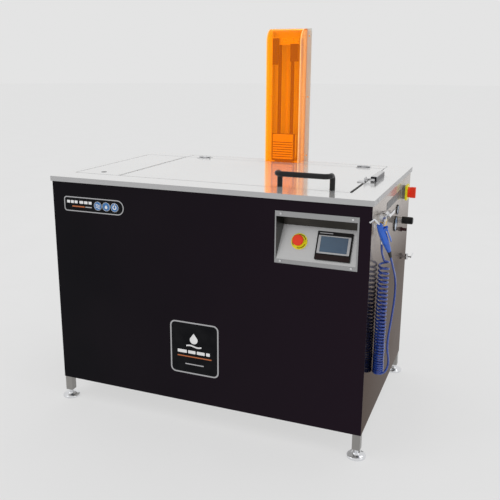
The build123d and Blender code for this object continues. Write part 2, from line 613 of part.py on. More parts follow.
# ---- lift carriage, hanger and platform: rise together ----
GROOVE_COUNT, GROOVE_PITCH, GROOVE_H, GROOVE_DEEP = 7, 11.0, 4.0, 5.0
FACE_HALF, FACE_Y, FACE_Z = 47.0, 748.0, (CARRIAGE_Z[0] + 8, CARRIAGE_Z[1] - 2)
with BuildPart() as carriage_face:
    block(spread(TANK_X, FACE_HALF), (FACE_Y, HANGER_Y[0]), FACE_Z)
    for i in range(GROOVE_COUNT):
        groove_low = FACE_Z[0] + GROOVE_H * 2 + i * GROOVE_PITCH
        groove_z = (groove_low, groove_low + GROOVE_H)
        block(spread(TANK_X, FACE_HALF), (FACE_Y, FACE_Y + GROOVE_DEEP), groove_z, Mode.SUBTRACT)
save("carriage_face", carriage_face.part)

BEARING_HALF, BEARING_Y, BEARING_Z = 50.0, (768.0, 798.0), (CARRIAGE_Z[0] + 8, CARRIAGE_Z[1] - 6)
with BuildPart() as lift_carriage:
    block(spread(TANK_X, BEARING_HALF), BEARING_Y, BEARING_Z)
    for rx in (-ROD_X, ROD_X):
        upright(TANK_X + rx, ROD_Y, BEARING_Z, ROD_R + RUN, Mode.SUBTRACT)
save("lift_carriage", lift_carriage.part)

HANGER_HALF, ARM_HALF, HANGER_LOW = 54.0, 40.0, CARRIAGE_Z[0] - 2
with BuildPart() as lift_hanger:
    block(spread(TANK_X, HANGER_HALF), HANGER_Y, (HANGER_LOW, CARRIAGE_Z[1]))
    block(spread(TANK_X, ARM_HALF), HANGER_Y, (PLATFORM_Z, HANGER_LOW))
save("lift_hanger", lift_hanger.part)

PLATE_X, PLATE_Y, BAR = 390.0, (160.0, 690.0), 16.0
SLAT_SIDE, SLAT_PITCH, SLAT_HALF, SLAT_LOW = 6, 57.0, 3.0, 6.0
CROSS_Y, CROSS_HALF, CROSS_H = (290.0, 425.0, 560.0), 4.0, 8.0
ARM_X, ARM_W = 34.0, 6.0
with BuildPart() as lift_platform:
    low_z = (PLATFORM_Z, PLATFORM_Z + BAR)
    slat_z = (PLATFORM_Z + SLAT_LOW, PLATFORM_Z + BAR)
    ring(spread(TANK_X, PLATE_X), PLATE_Y, low_z, BAR)
    for i in range(-SLAT_SIDE, SLAT_SIDE + 1):
        block(spread(TANK_X + i * SLAT_PITCH, SLAT_HALF), (PLATE_Y[0] + BAR, PLATE_Y[1] - BAR), slat_z)
    for cross in CROSS_Y:
        block(spread(TANK_X, PLATE_X - BAR), spread(cross, CROSS_HALF), (PLATFORM_Z, PLATFORM_Z + CROSS_H))
    for ax in (-ARM_X, ARM_X):
        block(spread(TANK_X + ax, ARM_W), (PLATE_Y[1], HANGER_Y[0]), low_z)
save("lift_platform", lift_platform.part)

# ---- right side fittings ----
ISO_Y, ISO_Z = 645.0, 893.0
ISO_BASE_T, ISO_BASE_HALF = 13.0, 25.0
ISO_PLATE_T, ISO_PLATE_HALF, ISO_ROUND = 8.0, 31.0, 5.0
ISO_GAP, DIAL_T, DIAL_R = 0.4, 10.0, 22.0
GRIP_END, GRIP_HALF, GRIP_ROUND = 52.0, 7.0, 3.0
plate_x = (RIGHT + ISO_BASE_T, RIGHT + ISO_BASE_T + ISO_PLATE_T)
dial_x = (plate_x[1] + ISO_GAP, plate_x[1] + ISO_GAP + DIAL_T)
with BuildPart() as isolator_base:
    block((RIGHT, plate_x[0]), spread(ISO_Y, ISO_BASE_HALF), spread(ISO_Z, ISO_BASE_HALF))
save("isolator_base", isolator_base.part)

with BuildPart() as isolator_plate:
    block(plate_x, spread(ISO_Y, ISO_PLATE_HALF), spread(ISO_Z, ISO_PLATE_HALF))
    fillet(isolator_plate.edges().filter_by(Axis.X), ISO_ROUND)
save("isolator_plate", isolator_plate.part)

with BuildPart() as isolator_handle:
    across(dial_x, ISO_Y, ISO_Z, DIAL_R)
    block((dial_x[1], RIGHT + GRIP_END), spread(ISO_Y, GRIP_HALF), spread(ISO_Z, DIAL_R))
    fillet(isolator_handle.edges().filter_by(Axis.Z).group_by(Axis.X)[-1], GRIP_ROUND)
save("isolator_handle", isolator_handle.part)

GAUGES = ((484.0, 790.0, 31.0), (515.0, 842.0, 20.0))  # y, z and radius of each
GAUGE_T, GAUGE_RIM, DIAL_IN = 4.5, 2.5, 1.5
with BuildPart() as panel_gauges:
    for gy, gz, gr in GAUGES:
        across((RIGHT, RIGHT + GAUGE_T), gy, gz, gr)
        across((RIGHT + GAUGE_T - DIAL_IN, RIGHT + GAUGE_T), gy, gz, gr - GAUGE_RIM, Mode.SUBTRACT)
save("panel_gauges", panel_gauges.part)

KNOB_Y, KNOB_Z, KNOB_R, KNOB_BEVEL = 606.0, 780.0, 15.0, 3.0
NECK_END, NECK_R, KNOB_GAP = 8.0, 12.0, 0.4
FLUTE_COUNT, FLUTE_AT, FLUTE_R, FLUTE_L, FLUTE_MID = 16, 16.2, 2.0, 38.0, 31.0
with BuildPart() as regulator_neck:
    across((RIGHT, RIGHT + NECK_END), KNOB_Y, KNOB_Z, NECK_R)
save("regulator_neck", regulator_neck.part)

with BuildPart() as regulator_knob:
    across((RIGHT + NECK_END + KNOB_GAP, RIGHT + SIDE_REACH), KNOB_Y, KNOB_Z, KNOB_R)
    chamfer(regulator_knob.edges().group_by(Axis.X)[-1], KNOB_BEVEL)
    with Locations(Plane((CX + RIGHT + FLUTE_MID, FY + KNOB_Y, KNOB_Z), x_dir=(0, 1, 0), z_dir=(1, 0, 0))):
        with PolarLocations(FLUTE_AT, FLUTE_COUNT):
            Cylinder(FLUTE_R, FLUTE_L, mode=Mode.SUBTRACT)
save("regulator_knob", regulator_knob.part)

INLET_Y, INLET_Z, INLET_R, INLET_BORE = 637.0, 733.0, 6.5, 4.0
INLET_NUT_R, INLET_NUT_T, INLET_L = 9.5, 8.0, 26.0
with BuildPart() as air_inlet:
    barb_x = (RIGHT + INLET_NUT_T, RIGHT + INLET_L)
    across((RIGHT, RIGHT + INLET_NUT_T), INLET_Y, INLET_Z, INLET_NUT_R)
    across(barb_x, INLET_Y, INLET_Z, INLET_R)
    across(barb_x, INLET_Y, INLET_Z, INLET_BORE, Mode.SUBTRACT)
save("air_inlet", air_inlet.part)

# ball valve that feeds the spiral hose: elbow, body along Y, elbow down to the coupler
VALVE_Y, VALVE_Z, ELBOW_Y = 122.0, 900.0, 152.0
COUPLER_Y = 80.0
PIPE_R, BALL_R, ELBOW_HALF, VALVE_STEM_R, VALVE_STEM_L = 9.0, 12.5, 11.0, 5.0, 14.0
BALL_Y = (100.0, ELBOW_Y - ELBOW_HALF)
with BuildPart() as air_valve_body:
    across((RIGHT, COIL_X), ELBOW_Y, VALVE_Z, PIPE_R)
    block(spread(COIL_X, ELBOW_HALF), spread(ELBOW_Y, ELBOW_HALF), spread(VALVE_Z, ELBOW_HALF))
    lengthwise(COIL_X, (COUPLER_Y - ELBOW_HALF, BALL_Y[1]), VALVE_Z, PIPE_R)
    lengthwise(COIL_X, BALL_Y, VALVE_Z, BALL_R)
    block(spread(COIL_X, ELBOW_HALF), spread(COUPLER_Y, ELBOW_HALF), spread(VALVE_Z, ELBOW_HALF))
    across((COIL_X, COIL_X + VALVE_STEM_L), VALVE_Y, VALVE_Z, VALVE_STEM_R)
save("air_valve_body", air_valve_body.part)

LEVER_GAP, LEVER_T, LEVER_L, LEVER_R = 0.4, 3.0, 100.0, 8.0
AIR_LEVER_HALF, AIR_LEVER_ROUND = 6.0, 5.0
with BuildPart() as air_valve_lever:
    lever_x = (COIL_X + VALVE_STEM_L + LEVER_GAP, COIL_X + VALVE_STEM_L + LEVER_GAP + LEVER_T)
    across(lever_x, VALVE_Y, VALVE_Z, LEVER_R)
    block(lever_x, (VALVE_Y, VALVE_Y + LEVER_L), spread(VALVE_Z, AIR_LEVER_HALF))
    lever_tip = air_valve_lever.edges().filter_by(Axis.X).group_by(Axis.Y)[-1]
    fillet(lever_tip, AIR_LEVER_ROUND)
save("air_valve_lever", air_valve_lever.part)

COUPLER_Z = (818.0, VALVE_Z - ELBOW_HALF)
COUPLER_R, SLEEVE_R, SLEEVE_Z = 10.0, 12.5, (838.0, 860.0)
SPIGOT_R, SPIGOT_Z = 6.0, 832.0
with BuildPart() as quick_coupler:
    upright(COIL_X, COUPLER_Y, (SPIGOT_Z, COUPLER_Z[1]), COUPLER_R)
    upright(COIL_X, COUPLER_Y, SLEEVE_Z, SLEEVE_R)
    upright(COIL_X, COUPLER_Y, (COUPLER_Z[0], SPIGOT_Z), SPIGOT_R)
save("quick_coupler", quick_coupler.part)

HOOK_Y, HOOK_Z, HOOK_R = 35.0, 886.0, 2.5
HOOK_PLATE_T, HOOK_PLATE_HALF, HOOK_PLATE_Z = 2.0, 9.0, (HOOK_Z - 20, HOOK_Z + 12)
HOOK_REACH, HOOK_RISE, HOOK_BEND = 36.0, 20.0, 7.0
with BuildPart() as gun_hook:
    block((RIGHT, RIGHT + HOOK_PLATE_T), spread(HOOK_Y, HOOK_PLATE_HALF), HOOK_PLATE_Z)
    with BuildLine():
        FilletPolyline(
            (CX + RIGHT + HOOK_PLATE_T, FY + HOOK_Y, HOOK_Z),
            (CX + RIGHT + HOOK_REACH, FY + HOOK_Y, HOOK_Z),
            (CX + RIGHT + HOOK_REACH, FY + HOOK_Y, HOOK_Z + HOOK_RISE),
            radius=HOOK_BEND,
        )
    hook_start = (CX + RIGHT + HOOK_PLATE_T, FY + HOOK_Y, HOOK_Z)
    with BuildSketch(Plane(hook_start, x_dir=(0, 1, 0), z_dir=(1, 0, 0))):
        Circle(HOOK_R)
    sweep()
save("gun_hook", gun_hook.part)

OUTLET_R, OUTLET_HALF, SPINDLE_R = 7.0, 13.0, 3.5
OUTLET_MID, SPINDLE_END = RIGHT + 14, RIGHT + 32
OUTLET_LEVER_X = (RIGHT + 32.4, RIGHT + 35.4)
OUTLET_LEVER_L, LEVER_HALF, LEVER_ROUND = 62.0, 4.0, 3.0
with BuildPart() as outlet_valve_body:
    across((RIGHT, OUTLET_MID), OUTLET_Y, OUTLET_Z, OUTLET_R)
    upright(OUTLET_MID, OUTLET_Y, spread(OUTLET_Z, OUTLET_HALF), OUTLET_R)
    across((OUTLET_MID, SPINDLE_END), OUTLET_Y, OUTLET_Z, SPINDLE_R)
save("outlet_valve_body", outlet_valve_body.part)

with BuildPart() as outlet_valve_lever:
    across(OUTLET_LEVER_X, OUTLET_Y, OUTLET_Z, SPINDLE_R + 2)
    block(OUTLET_LEVER_X, (OUTLET_Y, OUTLET_Y + OUTLET_LEVER_L), spread(OUTLET_Z, LEVER_HALF))
    lever_end = outlet_valve_lever.edges().filter_by(Axis.X).group_by(Axis.Y)[-1]
    fillet(lever_end, LEVER_ROUND)
save("outlet_valve_lever", outlet_valve_lever.part)

# ---- identical button-head screws ----
SCREW_R, SCREW_H = 4.0, 2.4
CONSOLE_SCREW_X, CONSOLE_SCREW_Z = (CON_X[0] + 22, CON_X[1] - 22), (CON_Z[0] + 9, CON_Z[1] - 9)
FLANGE_SCREW_X = spread(TANK_X, COLUMN_W / 2 - 10)
FLANGE_SCREW_Z = (1000.0, 1268.0, 1536.0)
LIP_SCREW_Y = (60.0, 415.0, 770.0)
with BuildPart() as casing_screws:
    for sx in CONSOLE_SCREW_X:
        for sz in CONSOLE_SCREW_Z:
            lengthwise(sx, (-SHEET - SCREW_H, -SHEET), sz, SCREW_R)
    for sx in FLANGE_SCREW_X:
        for sz in FLANGE_SCREW_Z:
            lengthwise(sx, (COLUMN_Y - SCREW_H, COLUMN_Y), sz, SCREW_R)
    for sy in LIP_SCREW_Y:
        across((RIGHT + LIP_OUT, RIGHT + LIP_OUT + SCREW_H), sy, TOP_Z - LIP_H / 2, SCREW_R)
        across((-RIGHT - LIP_OUT - SCREW_H, -RIGHT - LIP_OUT), sy, TOP_Z - LIP_H / 2, SCREW_R)
save("casing_screws", casing_screws.part)

# ---- blow gun on its hook ----
GUN_TOP, GUN_END = (672.0, 15.0, 890.0), (698.0, 85.0, 783.0)
gun_dir = tuple(b - a for a, b in zip(GUN_TOP, GUN_END))
gun_l = hypot(*gun_dir)
gun_plane = Plane(
    (CX + GUN_TOP[0], FY + GUN_TOP[1], GUN_TOP[2]),
    x_dir=(0.97, 0, 0.24),
    z_dir=gun_dir,
)
TRIGGER_X, TRIGGER_W, TRIGGER_L, TRIGGER_PIN_R = 20.0, 10.0, 62.0, 1.5
PIVOT_S, EAR_X, EAR_Y, EAR_SIZE = 22.0, 14.0, 6.5, (20.0, 2.0, 9.0)
GUN_CAP_R, GUN_GRIP, GUN_TAIL_R = 9.0, ((13.0, 30.0), (12.0, 90.0)), 8.0
TRIGGER_T, TRIGGER_EYE_R, NOZZLE_R, NOZZLE_BEND = 3.0, 3.2, 3.5, 9.0
with BuildPart() as blow_gun_body:
    with BuildSketch(Plane(gun_plane.origin, x_dir=gun_plane.x_dir, z_dir=-gun_plane.y_dir)):
        with BuildLine():
            Line((0, 0), (GUN_CAP_R, 0))
            Spline((GUN_CAP_R, 0), *GUN_GRIP, (GUN_TAIL_R, gun_l))
            Line((GUN_TAIL_R, gun_l), (0, gun_l))
            Line((0, gun_l), (0, 0))
        make_face()
    revolve(axis=Axis(gun_plane.origin, gun_plane.z_dir))
    with Locations(gun_plane):
        for side in (-1, 1):
            with Locations((EAR_X, side * EAR_Y, PIVOT_S)):
                Box(*EAR_SIZE)
        with Locations((TRIGGER_X, 0, PIVOT_S)):
            Cylinder(TRIGGER_PIN_R, 2 * EAR_Y, rotation=(90, 0, 0))
save("blow_gun_body", blow_gun_body.part)

nozzle_points = [(672.0, 15.0, 890.0), (657.0, -1.0, 911.0), (648.0, -20.0, 903.0)]
with BuildPart() as blow_gun_nozzle:
    with BuildLine() as nozzle_path:
        FilletPolyline(*[(CX + x, FY + y, z) for x, y, z in nozzle_points], radius=NOZZLE_BEND)
    with BuildSketch(Plane(nozzle_path.line @ 0, z_dir=nozzle_path.line % 0)):
        Circle(NOZZLE_R)
    sweep()
save("blow_gun_nozzle", blow_gun_nozzle.part)

with BuildPart() as gun_trigger:
    with Locations(gun_plane):
        with Locations((TRIGGER_X, 0, PIVOT_S)):
            Cylinder(TRIGGER_EYE_R, TRIGGER_W, rotation=(90, 0, 0))
        with Locations((TRIGGER_X, 0, PIVOT_S + TRIGGER_L / 2)):
            Box(TRIGGER_T, TRIGGER_W, TRIGGER_L)
        with Locations((TRIGGER_X, 0, PIVOT_S)):
            Cylinder(TRIGGER_PIN_R + RUN, TRIGGER_W, rotation=(90, 0, 0), mode=Mode.SUBTRACT)
save("gun_trigger", gun_trigger.part)

trigger_pivot = gun_plane.origin + gun_plane.x_dir * TRIGGER_X + gun_plane.z_dir * PIVOT_S
print("trigger pivot", [round(v, 2) for v in trigger_pivot], "axis", [round(-v, 4) for v in gun_plane.y_dir])

# ---- spiral hose: the two free ends and the coil between them ----
upper_route = [
    (COIL_X, COUPLER_Y, COUPLER_Z[0]),
    (COIL_X, 82.0, 794.0),
    (COIL_X, 96.0, 770.0),
    (COIL_X, 124.0, 752.0),
    (COIL_X, 136.0, COIL_Z[1]),
]
lower_route = [
    (COIL_X + 11, 139.0, 291.0),
    (COIL_X + 24, 141.0, 293.0),
    (COIL_X + 34, 150.0, 308.0),
    (COIL_X + 37, 155.0, 334.0),
    (COIL_X + 36, 146.0, 362.0),
    (COIL_X + 34, 132.0, 386.0),
    (COIL_X + 32, 129.0, 424.0),
    (COIL_X + 34, 170.0, 486.0),
    (COIL_X + 35, 216.0, 552.0),
    (COIL_X + 35, 225.0, 606.0),
    (COIL_X + 36, 198.0, 655.0),
    (COIL_X + 35, 158.0, 694.0),
    (COIL_X + 32, 117.0, 739.0),
    GUN_END,
]


def bend_radii(points):
    """The largest arc that each corner's two runs leave room for."""
    radii = []
    for a, b, c in zip(points, points[1:], points[2:]):
        run_in, run_out = Vector(*b) - Vector(*a), Vector(*c) - Vector(*b)
        turn = run_in.get_angle(run_out)
        radii.append(0.45 * min(run_in.length, run_out.length) / tan(radians(turn / 2)))
    return radii


for name, route in (("hose_tail_upper", upper_route), ("hose_tail_lower", lower_route)):
    radii = bend_radii(route)
    print(name, "arc radii", [round(r) for r in radii])
    with BuildPart() as tail:
        with BuildLine() as tail_path:
            FilletPolyline(*[(CX + x, FY + y, z) for x, y, z in route], radius=radii)
        with BuildSketch(Plane(tail_path.line @ 0, z_dir=tail_path.line % 0)):
            Circle(HOSE_R)
        sweep()
    print(name, "length", round(tail_path.wire().length), "volume", round(tail.part.volume))
    save(name, tail.part)

with BuildPart() as hose_coil:
    upright(COIL_X, COIL_Y, COIL_Z, COIL_R)
save("hose_coil", hose_coil.part)
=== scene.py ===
from math import cos, pi, radians, sin

import bmesh
import bpy
from mathutils import Matrix, Vector


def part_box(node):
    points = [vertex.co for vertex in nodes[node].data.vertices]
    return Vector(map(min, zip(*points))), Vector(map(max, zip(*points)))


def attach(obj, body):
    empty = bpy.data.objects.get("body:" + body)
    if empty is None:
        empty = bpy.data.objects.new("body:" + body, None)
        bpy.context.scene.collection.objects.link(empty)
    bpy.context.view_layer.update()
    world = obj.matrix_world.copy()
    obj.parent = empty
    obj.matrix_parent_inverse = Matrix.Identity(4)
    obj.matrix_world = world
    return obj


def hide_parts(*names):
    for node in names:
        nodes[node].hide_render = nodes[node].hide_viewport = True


# Immersion parts washer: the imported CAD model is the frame. This script adds the camera,
# the spiral hose, the printed plates, dials and small fittings, and every material.

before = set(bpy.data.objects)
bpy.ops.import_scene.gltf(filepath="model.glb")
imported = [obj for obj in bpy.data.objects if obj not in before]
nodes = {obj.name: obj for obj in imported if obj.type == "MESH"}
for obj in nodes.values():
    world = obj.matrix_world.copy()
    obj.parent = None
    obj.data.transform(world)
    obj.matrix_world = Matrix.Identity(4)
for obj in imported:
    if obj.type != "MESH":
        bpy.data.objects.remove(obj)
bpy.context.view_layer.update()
scene = bpy.context.scene
MM = 0.001

# ---- the cabinet's own axes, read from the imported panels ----
front_low, front_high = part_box("front_panel")
CABINET = Vector(((front_low.x + front_high.x) / 2, front_low.y, 0))
HALF_W = (front_high.x - front_low.x) / 2 / MM
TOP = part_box("worktop")[1].z / MM


def at(x, y, z):
    """A point given in millimetres from the floor under the front panel's middle."""
    return CABINET + Vector((x, y, z)) * MM


def aimed(place, target):
    """The matrix of a camera or light at place that looks at target."""
    turn = (target - place).to_track_quat("-Z", "Y").to_matrix().to_4x4()
    return Matrix.Translation(place) @ turn


# ---------------------------------------------------------------- materials
class Paint:
    """A Principled material whose nodes are added one by one."""

    def __init__(self, name, colour, metallic=0.0, roughness=0.5, **sockets):
        self.material = bpy.data.materials.new(name)
        self.material.use_nodes = True
        self.tree = self.material.node_tree
        self.shader = self.tree.nodes["Principled BSDF"]
        self.plain("Base Color", (*colour, 1))
        self.plain("Metallic", metallic)
        self.plain("Roughness", roughness)
        for socket, value in sockets.items():
            self.plain(socket.replace("_", " "), value)
        self.place = self.node("ShaderNodeTexCoord").outputs["Object"]

    def plain(self, socket, value):
        self.shader.inputs[socket].default_value = value

    def node(self, kind, **settings):
        made = self.tree.nodes.new(kind)
        for key, value in settings.items():
            setattr(made, key, value)
        return made

    def link(self, source, target):
        self.tree.links.new(source, target)

    def stretched(self, scale, turn=(0, 0, 0)):
        mapping = self.node("ShaderNodeMapping")
        mapping.inputs["Scale"].default_value = scale
        mapping.inputs["Rotation"].default_value = turn
        self.link(self.place, mapping.inputs["Vector"])
        return mapping.outputs["Vector"]

    def noise(self, scale, detail=3.0, stretch=(1, 1, 1)):
        made = self.node("ShaderNodeTexNoise")
        made.inputs["Scale"].default_value = scale
        made.inputs["Detail"].default_value = detail
        self.link(self.stretched(stretch), made.inputs["Vector"])
        return made.outputs["Fac"]

    def ramp(self, source, stops):
        made = self.node("ShaderNodeValToRGB")
        elements = made.color_ramp.elements
        while len(elements) < len(stops):
            elements.new(0.5)
        for element, (position, colour) in zip(elements, stops):
            element.position = position
            element.color = (*colour, 1)
        self.link(source, made.inputs["Fac"])
        return made.outputs["Color"]

    def along(self, axis, vector=None):
        """One coordinate of the place on the object, or of another vector."""
        made = self.node("ShaderNodeSeparateXYZ")
        self.link(self.place if vector is None else vector, made.inputs["Vector"])
        return made.outputs[axis]

    def normal(self):
        return self.node("ShaderNodeNewGeometry").outputs["True Normal"]

    def spread(self, source, low, high, to_low=0.0, to_high=1.0):
        made = self.node("ShaderNodeMapRange")
        ends = {"From Min": low, "From Max": high, "To Min": to_low, "To Max": to_high}
        for socket, value in ends.items():
            made.inputs[socket].default_value = value
        self.link(source, made.inputs["Value"])
        return made.outputs["Result"]

    def mix(self, factor, a, b):
        """A colour between a and b, each a colour or another node's output."""
        made = self.node("ShaderNodeMix", data_type="RGBA")
        self.link(factor, made.inputs["Factor"])
        for value, socket in ((a, made.inputs["A"]), (b, made.inputs["B"])):
            if isinstance(value, tuple):
                socket.default_value = (*value, 1)
            else:
                self.link(value, socket)
        return made.outputs["Result"]

    def colour(self, source):
        self.link(source, self.shader.inputs["Base Color"])

    def base(self):
        """The output that gives the base colour so far."""
        return self.shader.inputs["Base Color"].links[0].from_socket

    def rough(self, source, low, high, source_range=(0.3, 0.7)):
        self.link(self.spread(source, *source_range, low, high), self.shader.inputs["Roughness"])

    def bump(self, *layers):
        """Layers of (height output, distance in metres, strength), laid over each other."""
        normal = None
        for height, distance, strength in layers:
            made = self.node("ShaderNodeBump")
            made.inputs["Distance"].default_value = distance
            made.inputs["Strength"].default_value = strength
            self.link(height, made.inputs["Height"])
            if normal is not None:
                self.link(normal, made.inputs["Normal"])
            normal = made.outputs["Normal"]
        self.link(normal, self.shader.inputs["Normal"])


def brushed(name, colour, grain, roughness, tint=0.05, streak=0.35, smudged_sheen=True):
    """Brushed stainless sheet. grain stretches the brushing: small along the strokes."""
    paint = Paint(name, colour, 1.0, roughness)
    strokes = paint.noise(260, 4, grain)
    smudges = paint.noise(5.5, 4)
    darker = tuple(c * (1 - tint) for c in colour)
    streaked = paint.mix(paint.spread(strokes, 0.35, 0.65), darker, colour)
    smudged = tuple(c * (1 - 1.4 * tint) for c in colour)
    paint.colour(paint.mix(paint.spread(smudges, 0.35, 0.62), smudged, streaked))
    if smudged_sheen:
        paint.rough(smudges, roughness * 0.8, roughness * 1.35)
    paint.bump((paint.noise(1.6, 2), 0.004, 0.06), (strokes, 0.00002, streak))
    return paint


def polished(name, colour, roughness=0.12, wear=0.06):
    """Machined or plated metal with fine turning marks and handling marks."""
    paint = Paint(name, colour, 1.0, roughness)
    marks = paint.noise(420, 3, (1, 1, 3))
    handling = paint.noise(38, 5)
    darker = tuple(c * (1 - 3 * wear) for c in colour)
    paint.colour(paint.mix(paint.spread(handling, 0.3, 0.62), darker, colour))
    paint.rough(handling, roughness * 0.7, roughness * 1.7)
    paint.bump((marks, 0.00003, 0.25))
    return paint


def moulded(name, colour, roughness=0.45, grain=900, sheen_spot=0.1, **sockets):
    """Moulded plastic or rubber with a fine grain, and lighter spots that are partly rubbed wear and
    partly painted sheen.
    """
    paint = Paint(name, colour, 0.0, roughness, **sockets)
    pebble = paint.noise(grain, 2)
    rubbed_and_sheen = paint.noise(22, 4)
    sheen_lightened = tuple(min(1, c * (1 + sheen_spot) + 0.004) for c in colour)
    paint.colour(paint.mix(paint.spread(rubbed_and_sheen, 0.35, 0.68), colour, sheen_lightened))
    paint.rough(rubbed_and_sheen, roughness * 1.12, roughness * 0.82)
    paint.bump((pebble, 0.00012, 0.18))
    return paint


ALONG_X, ALONG_Z = (0.02, 1, 1), (1, 1, 0.02)
FOLD_ROUGHNESS = 0.4


def worktop_steel(name, colour, upright_shade, roughness=0.12, tilt=(0.2, 0.8), streak=0.1):
    """Bright sheet; the upright faces of its folds are rougher than those that face up, and painted
    darker as shade.
    """
    paint = brushed(name, colour, ALONG_X, roughness, 0.02, streak, smudged_sheen=False)
    paint.plain("Metallic", 0.62)
    facing_up = paint.along("Z", paint.normal())
    paint.rough(facing_up, FOLD_ROUGHNESS, roughness, tilt)
    paint.colour(paint.mix(paint.spread(facing_up, *tilt), upright_shade, paint.base()))
    return paint


def side_steel():
    """Polished side sheet in a warm grey, with a painted reflection that lightens it towards the
    worktop.
    """
    paint = brushed("side_steel", (0.15, 0.132, 0.12), ALONG_Z, 0.13, tint=0.1, streak=0.12)
    low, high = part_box("right_side_panel")
    height = paint.along("Z")
    reflection_fade = (low.z + 0.5, high.z - 0.05)
    paint.colour(paint.mix(paint.spread(height, *reflection_fade), paint.base(), (0.66, 0.61, 0.57)))
    paint.link(paint.spread(height, *reflection_fade, 1.0, 0.3), paint.shader.inputs["Metallic"])
    paint.plain("Specular Tint", (0.38, 0.33, 0.305, 1))
    return paint


# The second colour of each worktop_steel finish is painted shade on its upright faces.
TOP_STEEL = worktop_steel("worktop_steel", (0.93, 0.93, 0.925), (0.5, 0.5, 0.505))
LID_STEEL = worktop_steel("lid_steel", (0.935, 0.935, 0.93), (0.3, 0.3, 0.3))
SIDE_STEEL = side_steel()
BEZEL_STEEL = worktop_steel(
    "console_steel", (0.56, 0.56, 0.56), (0.36, 0.36, 0.365), 0.3, tilt=(0.1, 0.4), streak=0.4
)
# Dark sheets that are painted shade in the console's pocket.
BROW_SHADE_SHEET = brushed("console_brow_painted_shade", (0.06, 0.055, 0.05), ALONG_X, 0.25, tint=0.3, streak=0.3)
CHEEK_SHADE_SHEET = brushed("console_cheek_painted_shade", (0.13, 0.13, 0.125), ALONG_X, 0.3, tint=0.25, streak=0.3)
COLUMN_STEEL = brushed("column_steel", (0.72, 0.82, 0.82), ALONG_Z, 0.42, tint=0.05)
COLUMN_STEEL.plain("Metallic", 0.35)
TANK_STEEL = brushed("tank_steel", (0.62, 0.61, 0.6), ALONG_X, 0.22, tint=0.06)
FRAME_STEEL = brushed("frame_tube_steel", (0.36, 0.35, 0.335), ALONG_Z, 0.3, tint=0.1)
BRIGHT = polished("bright_steel", (0.72, 0.72, 0.73), 0.14)
CHROME = polished("chrome_plate", (0.82, 0.83, 0.85), 0.07, 0.03)
ALUMINIUM = polished("machined_aluminium", (0.74, 0.75, 0.76), 0.3, 0.03)
CARRIAGE_GREY = moulded("anodised_block", (0.72, 0.72, 0.73), 0.4, 900, 0.05)
BRASS = polished("brass_plate", (0.78, 0.56, 0.22), 0.2, 0.08)
# On the lock the dark upright faces are a painted shadow edge.
CAST_ZINC = worktop_steel("cast_zinc", (0.7, 0.7, 0.7), (0.16, 0.16, 0.17), 0.35, streak=0.3)
DARK_FITTING = polished("dark_fitting", (0.1, 0.05, 0.055), 0.3, 0.1)
BLACK_PLASTIC = moulded("black_plastic", (0.009, 0.009, 0.01), 0.38, Specular_IOR_Level=0.25)
HANDLE_BLACK = moulded("handle_black", (0.005, 0.005, 0.006), 0.32, 1400, Specular_IOR_Level=0.3)
RUBBER = moulded("black_rubber", (0.016, 0.016, 0.016), 0.7, 1300)
RED = moulded("signal_red", (0.86, 0.045, 0.012), 0.42, 1500, 0.03, Specular_IOR_Level=0.25)
YELLOW = moulded("safety_yellow", (0.86, 0.78, 0.006), 0.36, 1500)
# sheen_spot 0.5 lightens the blue in spots: painted highlights on the glossy gun.
GUN_BLUE = moulded(
    "gun_blue", (0.004, 0.085, 0.46), 0.3, 1800, 0.5, Coat_Weight=0.25, Coat_Roughness=0.1
)
SOCKET_GREY = moulded("socket_grey", (0.2, 0.19, 0.16), 0.5, 1500)
HMI_SILVER = moulded("silver_plastic", (0.42, 0.42, 0.43), 0.35, 1500)
HMI_BLACK = moulded("panel_black", (0.004, 0.003, 0.003), 0.4, 1500, 0.0, Specular_IOR_Level=0.15)
HMI_BROWN = moulded("panel_brown", (0.014, 0.005, 0.005), 0.4, 1500, 0.0, Specular_IOR_Level=0.15)
MOTOR_BLUE = moulded("motor_enamel", (0.05, 0.09, 0.14), 0.35, 700)
GENERATOR_GREY = moulded("case_enamel", (0.46, 0.47, 0.46), 0.42, 700)
CERAMIC = moulded("transducer_body", (0.3, 0.31, 0.33), 0.3, 900)


def black_panel():
    """Satin black powder coat: fine orange peel, faint cloudiness, redder to the right."""
    paint = Paint("black_powder_coat", (0.0045, 0.0045, 0.0065), 0.0, 0.3, Specular_IOR_Level=0.07)
    peel = paint.noise(520, 2)
    cloud = paint.noise(2.2, 3)
    clouded = paint.mix(paint.spread(cloud, 0.3, 0.7), (0.0026, 0.0026, 0.0042), (0.006, 0.0046, 0.0068))
    across = paint.spread(paint.along("X"), front_low.x, front_high.x)
    paint.colour(paint.mix(across, clouded, (0.012, 0.0055, 0.0115)))
    paint.rough(cloud, 0.26, 0.36)
    paint.bump((peel, 0.00008, 0.16))
    return paint


def orange_guard():
    """Fluorescent orange acrylic sheet, clear, with fine scuffs; its faint emission is a painted glow
    that stands in for the sheet's fluorescence, and its side walls are painted paler for the light that
    comes through them.
    """
    paint = Paint(
        "guard_acrylic",
        (1.0, 0.56, 0.05),
        0.0,
        0.03,
        Transmission_Weight=0.95,
        IOR=1.2,
        Emission_Color=(1.0, 0.16, 0.0, 1),
        Emission_Strength=0.2,
    )
    scuff = paint.noise(60, 5, (1, 1, 0.15))
    paint.rough(scuff, 0.02, 0.09)
    sideways = paint.node("ShaderNodeMath", operation="ABSOLUTE")
    paint.link(paint.along("X", paint.normal()), sideways.inputs[0])
    paler_flank_light = paint.spread(sideways.outputs["Value"], 0.4, 0.8)
    paint.colour(paint.mix(paler_flank_light, (1.0, 0.6, 0.025), (1.0, 0.86, 0.46)))
    paint.bump((paint.noise(7, 2), 0.0008, 0.05))
    return paint


